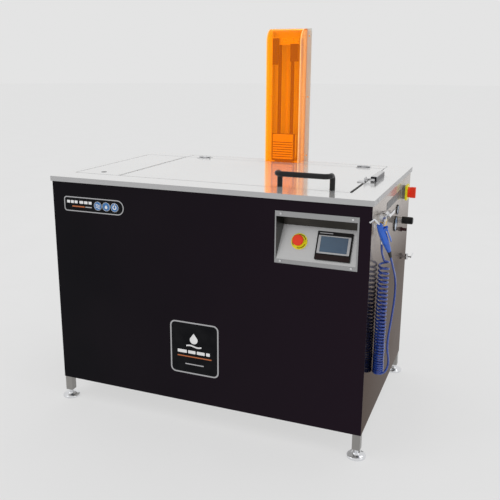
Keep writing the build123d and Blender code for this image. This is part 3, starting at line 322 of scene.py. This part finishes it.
def guard_edge():
    """The sheet's polished edge, with a painted glow that stands in for the light the fluorescent sheet
    gathers there.
    """
    paint = Paint(
        "guard_edge_glow",
        (1.0, 0.55, 0.16),
        0.0,
        0.25,
        Emission_Color=(1.0, 0.42, 0.12, 1),
        Emission_Strength=0.45,
    )
    cloud = paint.spread(paint.noise(90, 3), 0.3, 0.7)
    paint.colour(paint.mix(cloud, (1.0, 0.5, 0.14), (1.0, 0.62, 0.25)))
    return paint


def hose_blue():
    """Polyurethane tube: slightly see-through, glossy, a little uneven along its length."""
    paint = Paint(
        "hose_polyurethane",
        (0.012, 0.05, 0.31),
        0.0,
        0.2,
        Coat_Weight=0.5,
        Coat_Roughness=0.1,
        Subsurface_Weight=0.15,
        Subsurface_Radius=(0.001, 0.002, 0.006),
    )
    cloud = paint.noise(30, 3)
    paint.colour(paint.mix(paint.spread(cloud, 0.3, 0.7), (0.012, 0.04, 0.27), (0.016, 0.07, 0.38)))
    paint.rough(cloud, 0.17, 0.27)
    paint.bump((paint.noise(500, 2), 0.00004, 0.15))
    return paint


def screen_glass():
    """A switched-off blue-grey display under a glossy window, with a painted reflection that makes it
    brighter at one end.
    """
    paint = Paint("display_glass", (0.05, 0.1, 0.14), 0.0, 0.12, Coat_Weight=0.4, Coat_Roughness=0.03)
    low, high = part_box("hmi_screen")
    blotch = paint.noise(35, 3)
    to_right = paint.spread(paint.along("X"), low.x, high.x)
    across = paint.mix(to_right, (0.05, 0.105, 0.17), (0.03, 0.068, 0.13))
    paint.colour(paint.mix(paint.spread(blotch, 0.3, 0.75), across, (0.045, 0.09, 0.15)))
    return paint


def speckled_label():
    """A blank dark label strip with a worn, speckled print."""
    paint = Paint("label_print", (0.09, 0.09, 0.1), 0.0, 0.4)
    fleck = paint.noise(330, 2)
    shades = [(0.42, (0.05, 0.05, 0.055)), (0.56, (0.14, 0.14, 0.145)), (0.66, (0.3, 0.3, 0.3))]
    paint.colour(paint.ramp(fleck, shades))
    paint.bump((fleck, 0.00005, 0.2))
    return paint


PANEL_BLACK = black_panel()
ORANGE = orange_guard()
ORANGE_EDGE = guard_edge()
HOSE = hose_blue()
SCREEN = screen_glass()
LABEL = speckled_label()
PLATE_BLACK = moulded("plate_black", (0.003, 0.003, 0.0045), 0.4, 1600, 0.0, Specular_IOR_Level=0.08)
PRINT_GREY = moulded("print_grey", (0.42, 0.42, 0.43), 0.35, 1600)
PRINT_WHITE = moulded("print_white", (0.82, 0.82, 0.82), 0.35, 1600)
PRINT_ORANGE = moulded("print_orange", (0.48, 0.13, 0.03), 0.35, 1600)
PRINT_BLUE = moulded("print_blue", (0.04, 0.17, 0.42), 0.32, 1600)
DIAL_FACE = moulded("dial_face", (0.2, 0.3, 0.46), 0.3, 1600, Coat_Weight=0.7, Coat_Roughness=0.05)

finishes = {
    "feet": CHROME,
    "frame_posts": FRAME_STEEL,
    "frame_rails": FRAME_STEEL,
    "front_panel": PANEL_BLACK,
    "left_side_panel": SIDE_STEEL,
    "right_side_panel": SIDE_STEEL,
    "rear_panel": SIDE_STEEL,
    "floor_pan": TANK_STEEL,
    "worktop": TOP_STEEL,
    "wash_tank": TANK_STEEL,
    "transducers": CERAMIC,
    "ultrasonic_generator": GENERATOR_GREY,
    "filter_tank": TANK_STEEL,
    "pump": MOTOR_BLUE,
    "drain_pipe": BRIGHT,
    "console_housing": BEZEL_STEEL,
    "casing_screws": BRIGHT,
    "hmi_housing": HMI_BLACK,
    "hmi_screen": SCREEN,
    "estop_base": YELLOW,
    "front_badges": PLATE_BLACK,
    "lift_column": COLUMN_STEEL,
    "lift_guard": ORANGE,
    "guide_rods": BLACK_PLASTIC,
    "lift_cylinder": CARRIAGE_GREY,
    "lift_end_blocks": ALUMINIUM,
    "lift_valve": BLACK_PLASTIC,
    "hinge_leaves_fixed": BRIGHT,
    "hinge_pins": BRIGHT,
    "lid_lock": CAST_ZINC,
    "isolator_base": SOCKET_GREY,
    "isolator_plate": YELLOW,
    "panel_gauges": BLACK_PLASTIC,
    "regulator_neck": BRIGHT,
    "air_inlet": DARK_FITTING,
    "air_valve_body": BRIGHT,
    "quick_coupler": BRASS,
    "gun_hook": BRIGHT,
    "outlet_valve_body": BRIGHT,
    "blow_gun_body": GUN_BLUE,
    "blow_gun_nozzle": CHROME,
    "lid": LID_STEEL,
    "lid_gasket": RUBBER,
    "lid_handle": HANDLE_BLACK,
    "lid_lock_key": BRIGHT,
    "hinge_leaves_lid": BRIGHT,
    "lift_carriage": CARRIAGE_GREY,
    "carriage_face": CARRIAGE_GREY,
    "lift_hanger": BLACK_PLASTIC,
    "lift_platform": TANK_STEEL,
    "left_cover": LID_STEEL,
    "estop_button": RED,
    "isolator_handle": RED,
    "regulator_knob": BLACK_PLASTIC,
    "air_valve_lever": CHROME,
    "outlet_valve_lever": CHROME,
    "gun_trigger": GUN_BLUE,
}
for name, paint in finishes.items():
    materials = nodes[name].data.materials
    materials.clear()
    materials.append(paint.material)

# ---------------------------------------------------------------- camera
CAMERA_AT = at(1081.7, -2242.4, 1421.6)
CAMERA_ROLL = 0.241
AIM = at(75.93, 248.84, 734.87)
camera_data = bpy.data.cameras.new("camera")
camera_data.lens = 49.14
camera_data.sensor_width = 36
camera_data.shift_x = 0.0166
camera_data.shift_y = -0.0273
camera_data.clip_end = 100
camera = bpy.data.objects.new("camera", camera_data)
scene.collection.objects.link(camera)
camera.matrix_world = aimed(CAMERA_AT, AIM) @ Matrix.Rotation(radians(CAMERA_ROLL), 4, "Z")
scene.camera = camera


# ---------------------------------------------------------------- builders
def riding(name, data, body):
    """A new object from a mesh or curve that is already in place, riding on a body."""
    made = bpy.data.objects.new(name, data)
    scene.collection.objects.link(made)
    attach(made, body)
    return made


def piece(name, mesh, paint, body="cabinet"):
    """A new mesh object in a finish."""
    mesh.materials.append(paint.material)
    return riding(name, mesh, body)


def finished(name, shape, smooth_angle=None):
    """The mesh of a bmesh, which is freed."""
    bmesh.ops.recalc_face_normals(shape, faces=shape.faces)
    mesh = bpy.data.meshes.new(name)
    shape.to_mesh(mesh)
    shape.free()
    if smooth_angle is not None:
        mesh.polygons.foreach_set("use_smooth", [True] * len(mesh.polygons))
        mesh.set_sharp_from_angle(angle=radians(smooth_angle))
    return mesh


def raised(shape, outline, place, height, inner=None):
    """A closed plate with the outline's points, or a frame between it and inner."""

    def ring(points, level):
        return [shape.verts.new(place @ Vector((u, v, level))) for u, v in points]

    top, bottom = ring(outline, height), ring(outline, 0)
    count = len(outline)
    for i in range(count):
        j = (i + 1) % count
        shape.faces.new((bottom[i], bottom[j], top[j], top[i]))
    if inner is None:
        shape.faces.new(top)
        shape.faces.new(bottom[::-1])
        return
    top_in, bottom_in = ring(inner, height), ring(inner, 0)
    for i in range(count):
        j = (i + 1) % count
        shape.faces.new((top_in[i], top[i], top[j], top_in[j]))
        shape.faces.new((bottom_in[j], bottom[j], bottom[i], bottom_in[i]))
        shape.faces.new((top_in[i], top_in[j], bottom_in[j], bottom_in[i]))


def rounded(width, height, radii, middle=(0, 0), steps=6):
    """Outline of a rectangle whose corners have the radii of (left, right)."""
    left, right = radii
    points = []
    corners = (
        (width / 2 - right, height / 2 - right, right, 0),
        (left - width / 2, height / 2 - left, left, 90),
        (left - width / 2, left - height / 2, left, 180),
        (width / 2 - right, right - height / 2, right, 270),
    )
    for cx, cy, radius, start in corners:
        for i in range(steps + 1):
            angle = radians(start + 90 * i / steps)
            points.append((middle[0] + cx + radius * cos(angle), middle[1] + cy + radius * sin(angle)))
    return points


def disc(radius, middle=(0, 0), steps=40):
    angles = [2 * pi * i / steps for i in range(steps)]
    return [(middle[0] + radius * cos(a), middle[1] + radius * sin(a)) for a in angles]


def scaled(points):
    """Outline points in millimetres, in metres."""
    return [(u * MM, v * MM) for u, v in points]


def facing(origin, right, up):
    """The place of a plate at origin, with its own u and v along right and up."""
    right, up = Vector(right).normalized(), Vector(up).normalized()
    out = right.cross(up)
    turn = Matrix((right, up, out)).transposed().to_4x4()
    return Matrix.Translation(origin) @ turn


def tube(name, points, radius, paint, body="cabinet"):
    """A smooth round hose along control points, as a curve object."""
    curve = bpy.data.curves.new(name, "CURVE")
    curve.dimensions = "3D"
    spline = curve.splines.new("NURBS")
    spline.points.add(len(points) - 1)
    for point, place in zip(spline.points, points):
        point.co = (*place, 1)
    spline.order_u = 3
    spline.use_endpoint_u = True
    spline.resolution_u = 4
    curve.bevel_depth = radius
    curve.bevel_resolution = 4
    curve.use_fill_caps = True
    curve.materials.append(paint.material)
    return riding(name, curve, body)


def turned(name, profile, start, direction, paint, body="cabinet", sides=48):
    """A body of revolution: profile points are (distance along direction, radius)."""
    shape = bmesh.new()
    axis = Vector(direction).normalized()
    side = axis.orthogonal().normalized()
    other = axis.cross(side)
    rings = []
    for along, radius in profile:
        centre = Vector(start) + axis * along
        if radius <= 0:
            rings.append([shape.verts.new(centre)])
            continue
        ring = []
        for i in range(sides):
            angle = 2 * pi * i / sides
            ring.append(shape.verts.new(centre + (side * cos(angle) + other * sin(angle)) * radius))
        rings.append(ring)
    for low, high in zip(rings, rings[1:]):
        for i in range(sides):
            j = (i + 1) % sides
            corners = [low[i % len(low)], low[j % len(low)], high[j % len(high)], high[i % len(high)]]
            unique = list(dict.fromkeys(corners))
            if len(unique) > 2:
                shape.faces.new(unique)
    for ring, flip in ((rings[0], True), (rings[-1], False)):
        if len(ring) > 1:
            shape.faces.new(ring[::-1] if flip else ring)
    return piece(name, finished(name, shape, 35), paint, body)


# ---------------------------------------------------------------- spiral hose
HOSE_D = 8.0
coil_low, coil_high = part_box("hose_coil")
coil_mid = (coil_low + coil_high) / 2
COIL_X = (coil_mid.x - CABINET.x) / MM
COIL_Y = (coil_mid.y - CABINET.y) / MM
COIL_TOP, COIL_BOTTOM = coil_high.z / MM, coil_low.z / MM
COUPLER = (COIL_X, 80, 818)
GUN_END = (698, 85, 783)
upper_route = [
    COUPLER,
    (COIL_X, 82, 794),
    (COIL_X, 96, 770),
    (COIL_X, 120, 752),
    (COIL_X + 3, 134, 730),
]
lower_route = [
    (COIL_X + 24, 141, 293),
    (COIL_X + 34, 150, 308),
    (COIL_X + 37, 155, 334),
    (COIL_X + 36, 146, 362),
    (COIL_X + 34, 132, 386),
    (COIL_X + 32, 129, 424),
    (COIL_X + 34, 170, 486),
    (COIL_X + 35, 216, 552),
    (COIL_X + 35, 225, 606),
    (COIL_X + 36, 198, 655),
    (COIL_X + 35, 158, 694),
    (COIL_X + 32, 117, 739),
    GUN_END,
]
COIL_R = 17.3  # control points' distance from the coil's axis; the tube's line is just inside it
TURNS = 33 + 15 / 360
PER_TURN = 16
START_ANGLE = -60.0
TOP_PITCH = 18.0  # the turns stand apart at the top and close up evenly towards the bottom
TOP_RISE = 12.0
coil_height = COIL_TOP - COIL_BOTTOM - HOSE_D
low_pitch = 2 * coil_height / TURNS - TOP_PITCH
coil_points = []
coil_steps = int(TURNS * PER_TURN)
for i in range(coil_steps + 1):
    turn = TURNS * i / coil_steps
    angle = radians(START_ANGLE + 360 * turn)
    fallen = TOP_PITCH * turn - (TOP_PITCH - low_pitch) * turn * turn / (2 * TURNS)
    rise = TOP_RISE * max(0, 1 - turn) ** 2
    wander = 0.5 * sin(1.7 * turn) + 0.3 * sin(0.61 * turn + 1)
    coil_points.append(
        (
            COIL_X + COIL_R * cos(angle) + 0.4 * sin(0.9 * turn),
            COIL_Y + COIL_R * sin(angle) + 0.8 * sin(0.37 * turn),
            COIL_TOP - HOSE_D / 2 - fallen + rise + wander * min(1, turn, TURNS - turn),
        )
    )
hose_line = [at(*p) for p in upper_route + coil_points + lower_route]
hose = tube("spiral_hose", hose_line, HOSE_D / 2 * MM, HOSE)
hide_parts("hose_tail_upper", "hose_coil", "hose_tail_lower")

relief = turned(
    "hose_strain_relief",
    [
        (-0.034, 0.0046),
        (-0.03, 0.0052),
        (-0.012, 0.0064),
        (-0.002, 0.0074),
        (0.004, 0.0076),
        (0.006, 0.007),
    ],
    at(*GUN_END),
    (at(*GUN_END) - at(*lower_route[-2])).normalized(),
    RUBBER,
)
ferrule = turned(
    "coupler_ferrule",
    [(-0.012, 0.0048), (-0.011, 0.0056), (0.0, 0.0062), (0.006, 0.0066), (0.007, 0.006)],
    at(*COUPLER),
    (0, -0.05, 1),
    CHROME,
)

# ---------------------------------------------------------------- console details
housing_low, housing_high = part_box("console_housing")
flange_left, flange_right = (housing_low.x - CABINET.x) / MM, (housing_high.x - CABINET.x) / MM
FLANGE_L, FLANGE_R = 4.5, 6.0
SLOPE_Z0, SLOPE_Z1, SLOPE_DEEP = 735.0, 892.5, 80.0
pocket_left, pocket_right = flange_left + FLANGE_L, flange_right - FLANGE_R
pocket_wide = pocket_right - pocket_left
console_mid = (flange_left + flange_right) / 2
slope_up = Vector((0, SLOPE_DEEP, SLOPE_Z1 - SLOPE_Z0)).normalized()
slope_out = Vector((1, 0, 0)).cross(slope_up)


def on_slope(across, along, out=0.0):
    """The place of a plate on the console's slope, millimetres from the slope's lower middle."""
    offset = Vector((across, 0, 0)) + slope_up * along + slope_out * out
    return facing(at(console_mid, 0, SLOPE_Z0) + offset * MM, (1, 0, 0), slope_up)


def plate(name, parts, paint, body="cabinet"):
    """One object made of several raised plates: (outline, place, height, inner outline)."""
    shape = bmesh.new()
    for outline, place, height, inner in parts:
        raised(shape, scaled(outline), place, height * MM, scaled(inner) if inner else None)
    return piece(name, finished(name, shape, 30), paint, body)


HMI_X, HMI_S, HMI_T = 59.25, 63.7, 7.0
SCREEN_S, SCREEN_W, SCREEN_H = 68.7, 99.0, 57.0
FRAME_W, FRAME_H = 117.0, 66.0
hmi_face = on_slope(HMI_X, 0, HMI_T)
display_frame = rounded(FRAME_W, FRAME_H, (2, 2), (0, SCREEN_S - 1))
window = rounded(SCREEN_W, SCREEN_H, (1, 1), (0, SCREEN_S))
plate("display_frame", [(display_frame, hmi_face, 0.8, window)], HMI_SILVER)
band = rounded(122, 17, (1, 1), (0, HMI_S - 42))
plate("display_band", [(band, hmi_face, 0.6, None)], HMI_BROWN)
stripe = rounded(48, 2.6, (1, 1), (-32, HMI_S + 45))
plate("display_stripe", [(stripe, hmi_face, 0.5, None)], HMI_SILVER)

# Dark plates as painted shade: one for the shadowed upper band of the pocket, and a triangle for the
# shade at the pocket's left end.
BROW_Z, BROW_DEEP, BROW_TALL, BROW_T = 851.0, 59.0, 41.0, 1.0
brow = bmesh.new()
raised(
    brow,
    scaled([(0, 0), (pocket_wide, 0), (pocket_wide, BROW_TALL), (0, BROW_TALL)]),
    facing(at(pocket_left, BROW_DEEP, BROW_Z), (1, 0, 0), (0, 0, 1)),
    BROW_T * MM,
)
piece("console_brow", finished("console_brow", brow), BROW_SHADE_SHEET)

CHEEK_X, CHEEK_IN, CHEEK_TOP = pocket_left + 0.5, pocket_left + 10.0, SLOPE_Z1 - 1
CHEEK_T = Vector((-0.4, 0.4, 0)) * MM
cheek = bmesh.new()
cheek_corners = (
    at(CHEEK_X, 1, SLOPE_Z0 + 4),
    at(CHEEK_IN, BROW_DEEP - 2, BROW_Z),
    at(CHEEK_IN, BROW_DEEP - 2, CHEEK_TOP),
    at(CHEEK_X, 1, CHEEK_TOP),
)
corners = [cheek.verts.new(p) for p in cheek_corners]
sunk = [cheek.verts.new(v.co + CHEEK_T) for v in corners]
cheek.faces.new(corners)
cheek.faces.new(sunk[::-1])
for i in range(4):
    cheek.faces.new((corners[i], sunk[i], sunk[(i + 1) % 4], corners[(i + 1) % 4]))
piece("console_cheek", finished("console_cheek", cheek), CHEEK_SHADE_SHEET)

ESTOP_X, ESTOP_S, ESTOP_T = -69.75, 71.0, 2.0
ARC_IN, ARC_OUT, ARC_SPAN, ARC_STEP = 23.5, 26.0, 80, 8
arrows = []
for start in (20, 140, 260):
    arc = [(ARC_IN, start + a) for a in range(0, ARC_SPAN + 1, ARC_STEP)]
    arc += [(ARC_OUT, start + a) for a in range(ARC_SPAN, -1, -ARC_STEP)]
    outline = [(r * cos(radians(a)), r * sin(radians(a))) for r, a in arc]
    arrows.append((outline, on_slope(ESTOP_X, ESTOP_S, ESTOP_T), 0.25, None))
plate("estop_arrows", arrows, PLATE_BLACK)

# ---------------------------------------------------------------- front plates
front_face = facing(at(0, -0.8, 0), (1, 0, 0), (0, 0, 1))
UPPER_X, UPPER_Z, UPPER_W, UPPER_H = -458.5, 866.0, 277.0, 60.0
LOWER_X, LOWER_Z, LOWER_W, LOWER_H = -22.5, 326.5, 209.0, 219.0
PRINT_T = 0.35


def front_print(name, outlines, paint, height=PRINT_T):
    plate(name, [(outline, front_face, height, inner) for outline, inner in outlines], paint)


def rim(width, height, middle, line, radii, inner_radii):
    """A frame whose inner outline is smaller by line, each with its own corner radii."""
    outer = rounded(width, height, radii, middle)
    return [(outer, rounded(width - line, height - line, inner_radii, middle))]


def bars(places, height, z, radius):
    """Short bars side by side, from (middle x, width)."""
    return [(rounded(width, height, (radius, radius), (x, z)), None) for x, width in places]


upper_rim = rim(UPPER_W, UPPER_H, (UPPER_X, UPPER_Z), 8, (12, 29), (9, 25))
front_print("upper_plate_rim", upper_rim, PRINT_GREY)
ICON_R, ICON_RIM_R, ICON_RIM_IN = 16.5, 17.5, 16.3
icon_x = [UPPER_X + 20 + 38.5 * i for i in range(3)]
front_print("upper_plate_icons", [(disc(ICON_R, (x, UPPER_Z)), None) for x in icon_x], PRINT_BLUE)
icon_rims = [(disc(ICON_RIM_R, (x, UPPER_Z)), disc(ICON_RIM_IN, (x, UPPER_Z))) for x in icon_x]
front_print("upper_plate_icon_rims", icon_rims, PRINT_WHITE)


def drop(x, z, size):
    """A drop shape that points up."""
    around = [radians(a) for a in range(20, -201, -20)]
    round_end = [(x + size * cos(a), z - 0.1 * size + size * sin(a)) for a in around]
    return [(x, z + 1.5 * size)] + round_end


def wave(x, z, width, thick, high):
    """A short wavy band."""
    count = 16
    top = []
    for i in range(count + 1):
        top.append((x - width / 2 + width * i / count, z + thick / 2 + high * sin(2 * pi * i / count)))
    bottom = [(u, v - thick) for u, v in reversed(top)]
    return top + bottom


SIGN_T = PRINT_T + 0.2
signs = [(wave(icon_x[0], UPPER_Z + rise, 19, 2.6, 2), None) for rise in (5, -1, -7)]
signs += [
    (drop(icon_x[1], UPPER_Z - 2, 6), None),
    (disc(9, (icon_x[2], UPPER_Z)), disc(5, (icon_x[2], UPPER_Z))),
    (rounded(4, 9, (1, 1), (icon_x[2], UPPER_Z + 9)), None),
]
front_print("upper_plate_signs", signs, PRINT_WHITE, SIGN_T)
UPPER_BARS = ((-576, 14), (-558, 14), (-540, 14), (-515, 18), (-494, 16), (-474, 14))
front_print("upper_plate_bars", bars(UPPER_BARS, 11, UPPER_Z + 9, 1), PRINT_WHITE)
front_print("upper_plate_line", bars([(-530, 58)], 5, UPPER_Z - 9, 1), PRINT_ORANGE)
front_print("upper_plate_line_end", bars([(-482, 30)], 4, UPPER_Z - 9, 1), PRINT_GREY)

lower_rim = rim(LOWER_W, LOWER_H, (LOWER_X, LOWER_Z), 11, (22, 22), (17, 17))
front_print("lower_plate_rim", lower_rim, PRINT_GREY)
emblem = [
    (drop(LOWER_X - 2, LOWER_Z + 38, 17), None),
    (wave(LOWER_X - 2, LOWER_Z + 9, 66, 6, 3), None),
]
front_print("lower_plate_emblem", emblem, PRINT_WHITE)
LOWER_BARS = [(LOWER_X + x, width) for x, width in ((-53, 40), (-11, 32), (28, 34), (59, 16))]
front_print("lower_plate_bars", bars(LOWER_BARS, 13, LOWER_Z - 16, 2), PRINT_WHITE)
front_print("lower_plate_line", bars([(LOWER_X, 148)], 4.5, LOWER_Z - 36, 1), PRINT_ORANGE)
front_print("lower_plate_short_line", bars([(LOWER_X, 80)], 4.5, LOWER_Z - 68, 1), PRINT_GREY)

# ---------------------------------------------------------------- right side details
right_face = facing(at(HALF_W, 0, 0), (0, 1, 0), (0, 0, 1))
side_label = rounded(320, 30, (2, 2), (430, 900))
plate("side_label", [(side_label, right_face, 0.8, None)], LABEL)


def spoke(degrees, corners):
    """A dial mark's outline, from (distance out, distance sideways) along its direction."""
    a = radians(degrees)
    out, side = Vector((cos(a), sin(a))), Vector((-sin(a), cos(a)))
    return [tuple(out * reach + side * offset) for reach, offset in corners]


DIAL_X = HALF_W + 3.1
TICK_COUNT, TICK_FIRST, TICK_TURN, LONG_TICK_EVERY = 11, 225, 27, 5
NEEDLE_AT = 150
dials, ticks, needles = [], [], []
for dial_y, dial_z, dial_r in ((484, 790, 28.2), (515, 842, 17.2)):
    dial_place = facing(at(DIAL_X, dial_y, dial_z), (0, 1, 0), (0, 0, 1))
    dials.append((disc(dial_r), dial_place, 0.4, None))
    for i in range(TICK_COUNT):
        inner, outer = dial_r * (0.66 if i % LONG_TICK_EVERY == 0 else 0.76), dial_r * 0.9
        thick = 0.035 * dial_r
        tick = ((inner, -thick), (outer, -thick), (outer, thick), (inner, thick))
        ticks.append((spoke(TICK_FIRST - TICK_TURN * i, tick), dial_place, 0.6, None))
    needle = ((-0.2 * dial_r, -1), (0.75 * dial_r, 0), (-0.2 * dial_r, 1))
    needles.append((spoke(NEEDLE_AT, needle), dial_place, 1.0, None))
plate("gauge_dials", dials, DIAL_FACE)
plate("gauge_ticks", ticks, PRINT_WHITE)
plate("gauge_needles", needles, PLATE_BLACK)

# ---------------------------------------------------------------- lift guard edges
guard_low, guard_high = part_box("lift_guard")
GUARD_R, GUARD_T = 58.0, 4.0
EDGE_PROUD, EDGE_SUNK = 0.3, -0.2
EDGE_SECTION = (
    (-EDGE_PROUD, EDGE_PROUD),
    (GUARD_T, EDGE_PROUD),
    (GUARD_T, EDGE_SUNK),
    (-EDGE_PROUD, EDGE_SUNK),
)
bend = Vector((0, guard_low.y + GUARD_R * MM, guard_high.z - GUARD_R * MM))
guard_line = [
    (Vector((0, guard_low.y, guard_low.z)), Vector((0, -1, 0))),
    (Vector((0, guard_low.y, bend.z)), Vector((0, -1, 0))),
]
for degrees in range(10, 81, 10):
    outwards = Vector((0, -cos(radians(degrees)), sin(radians(degrees))))
    guard_line.append((bend + outwards * GUARD_R * MM, outwards))
guard_line += [
    (Vector((0, bend.y, guard_high.z)), Vector((0, 0, 1))),
    (Vector((0, guard_high.y, guard_high.z)), Vector((0, 0, 1))),
]
for side, edge_x, inward in (("left", guard_low.x, 1), ("right", guard_high.x, -1)):
    edge = bmesh.new()
    rows = []
    for place, outwards in guard_line:
        row = []
        for across, out in EDGE_SECTION:
            sideways = Vector((edge_x + inward * across * MM, 0, 0))
            row.append(edge.verts.new(place + sideways + outwards * out * MM))
        rows.append(row)
    for low, high in zip(rows, rows[1:]):
        for i in range(4):
            edge.faces.new((low[i], low[(i + 1) % 4], high[(i + 1) % 4], high[i]))
    edge.faces.new(rows[0][::-1])
    edge.faces.new(rows[-1])
    edge_name = f"guard_edge_{side}"
    piece(edge_name, finished(edge_name, edge, 40), ORANGE_EDGE)

# ---------------------------------------------------------------- lift carriage and valve details
face_low, face_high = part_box("carriage_face")
face_mid = (face_low.x + face_high.x) / 2
# Black plates at the backs of the carriage's grooves: painted shade in the grooves.
GROOVE_COUNT, GROOVE_PITCH, GROOVE_W, GROOVE_H, GROOVE_DEEP = 7, 11.0, 93.0, 4.0, 5.0
grooves = []
for i in range(GROOVE_COUNT):
    groove_mid = face_low.z + (2 * GROOVE_H + i * GROOVE_PITCH + GROOVE_H / 2) * MM
    groove_back = Vector((face_mid, face_low.y + GROOVE_DEEP * MM, groove_mid))
    strip = rounded(GROOVE_W, GROOVE_H - 0.2, (0.2, 0.2))
    grooves.append((strip, facing(groove_back, (1, 0, 0), (0, 0, 1)), 0.8, None))
plate("carriage_grooves", grooves, PLATE_BLACK, "lift")

turned(
    "valve_plug",
    [(0, 0.0078), (0.011, 0.0078), (0.012, 0.0062), (0.02, 0.0062), (0.021, 0.005), (0.021, 0)],
    at(COIL_X, 122, 888),
    (0, 0, -1),
    BRASS,
)

# ---------------------------------------------------------------- lid details
lid_low, lid_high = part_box("lid")
lid_right = (lid_high.x - CABINET.x) / MM
lid_front = (lid_low.y - CABINET.y) / MM
SEAL_COUNT, SEAL_PITCH, SEAL_W, SEAL_L, SEAL_START = 5, 41, 6, 33, 4
top_face = facing(at(0, 0, TOP), (1, 0, 0), (0, 1, 0))
seal = []
for i in range(SEAL_COUNT):
    seal_mid = lid_front + SEAL_START + SEAL_PITCH * i + SEAL_L / 2
    strip = rounded(SEAL_W, SEAL_L, (1.5, 1.5), (lid_right - SEAL_W / 2, seal_mid))
    seal.append((strip, top_face, 2.0, None))
plate("lid_edge_seal", seal, RUBBER, "lid")

# The lock's socket opening is closed by a black plate: painted shade in the opening.
MOUTH_W, MOUTH_H, MOUTH_RISE = 20, 16, 0.0095
lock_low, lock_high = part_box("lid_lock")
lock_mid = (lock_low.x + lock_high.x) / 2
mouth_at = Vector((lock_mid, lock_low.y, lock_low.z + MOUTH_RISE))
mouth = rounded(MOUTH_W, MOUTH_H, (2, 2))
mouth_plate = (mouth, facing(mouth_at, (1, 0, 0), (0, 0, 1)), 0.6, None)
plate("lid_lock_mouth_shade", [mouth_plate], PLATE_BLACK)

# ---------------------------------------------------------------- floor and light
FLOOR_R = 45
floor_paint = Paint(
    "studio_floor",
    (0.28, 0.28, 0.28),
    0.0,
    0.9,
    Specular_IOR_Level=0.0,
    Emission_Color=(1, 1, 1, 1),
    Emission_Strength=0.54,
)
mottle = floor_paint.spread(floor_paint.noise(3.0), 0.3, 0.7)
floor_paint.colour(floor_paint.mix(mottle, (0.275, 0.275, 0.275), (0.285, 0.285, 0.285)))
floor_shape = bmesh.new()
bmesh.ops.create_circle(floor_shape, cap_ends=True, segments=96, radius=FLOOR_R)
floor_mesh = bpy.data.meshes.new("floor")
floor_shape.to_mesh(floor_mesh)
floor_shape.free()
floor_mesh.materials.append(floor_paint.material)
floor = bpy.data.objects.new("floor", floor_mesh)
scene.collection.objects.link(floor)

scene.view_settings.view_transform = "Standard"
scene.world = bpy.data.worlds.new("studio")
scene.world.use_nodes = True
sky = scene.world.node_tree.nodes["Background"]
sky.inputs["Color"].default_value = (0.775, 0.775, 0.775, 1)
sky.inputs["Strength"].default_value = 1.0


def softbox(name, place, aim, size, watts):
    """A soft rectangular studio light."""
    light = bpy.data.lights.new(name, "AREA")
    light.shape = "RECTANGLE"
    light.size, light.size_y = size
    light.energy = watts
    made = bpy.data.objects.new(name, light)
    scene.collection.objects.link(made)
    made.matrix_world = aimed(Vector(place), aim)


MIDDLE = Vector((0, 0, 0.7))
softbox("key_left", (-2.6, -2.6, 3.4), MIDDLE, (1.8, 1.8), 10)
softbox("fill_right", (3.4, -0.8, 2.4), MIDDLE, (1.6, 1.8), 6)
softbox("top_back", (0.2, 2.6, 3.6), MIDDLE, (2.6, 1.4), 8)
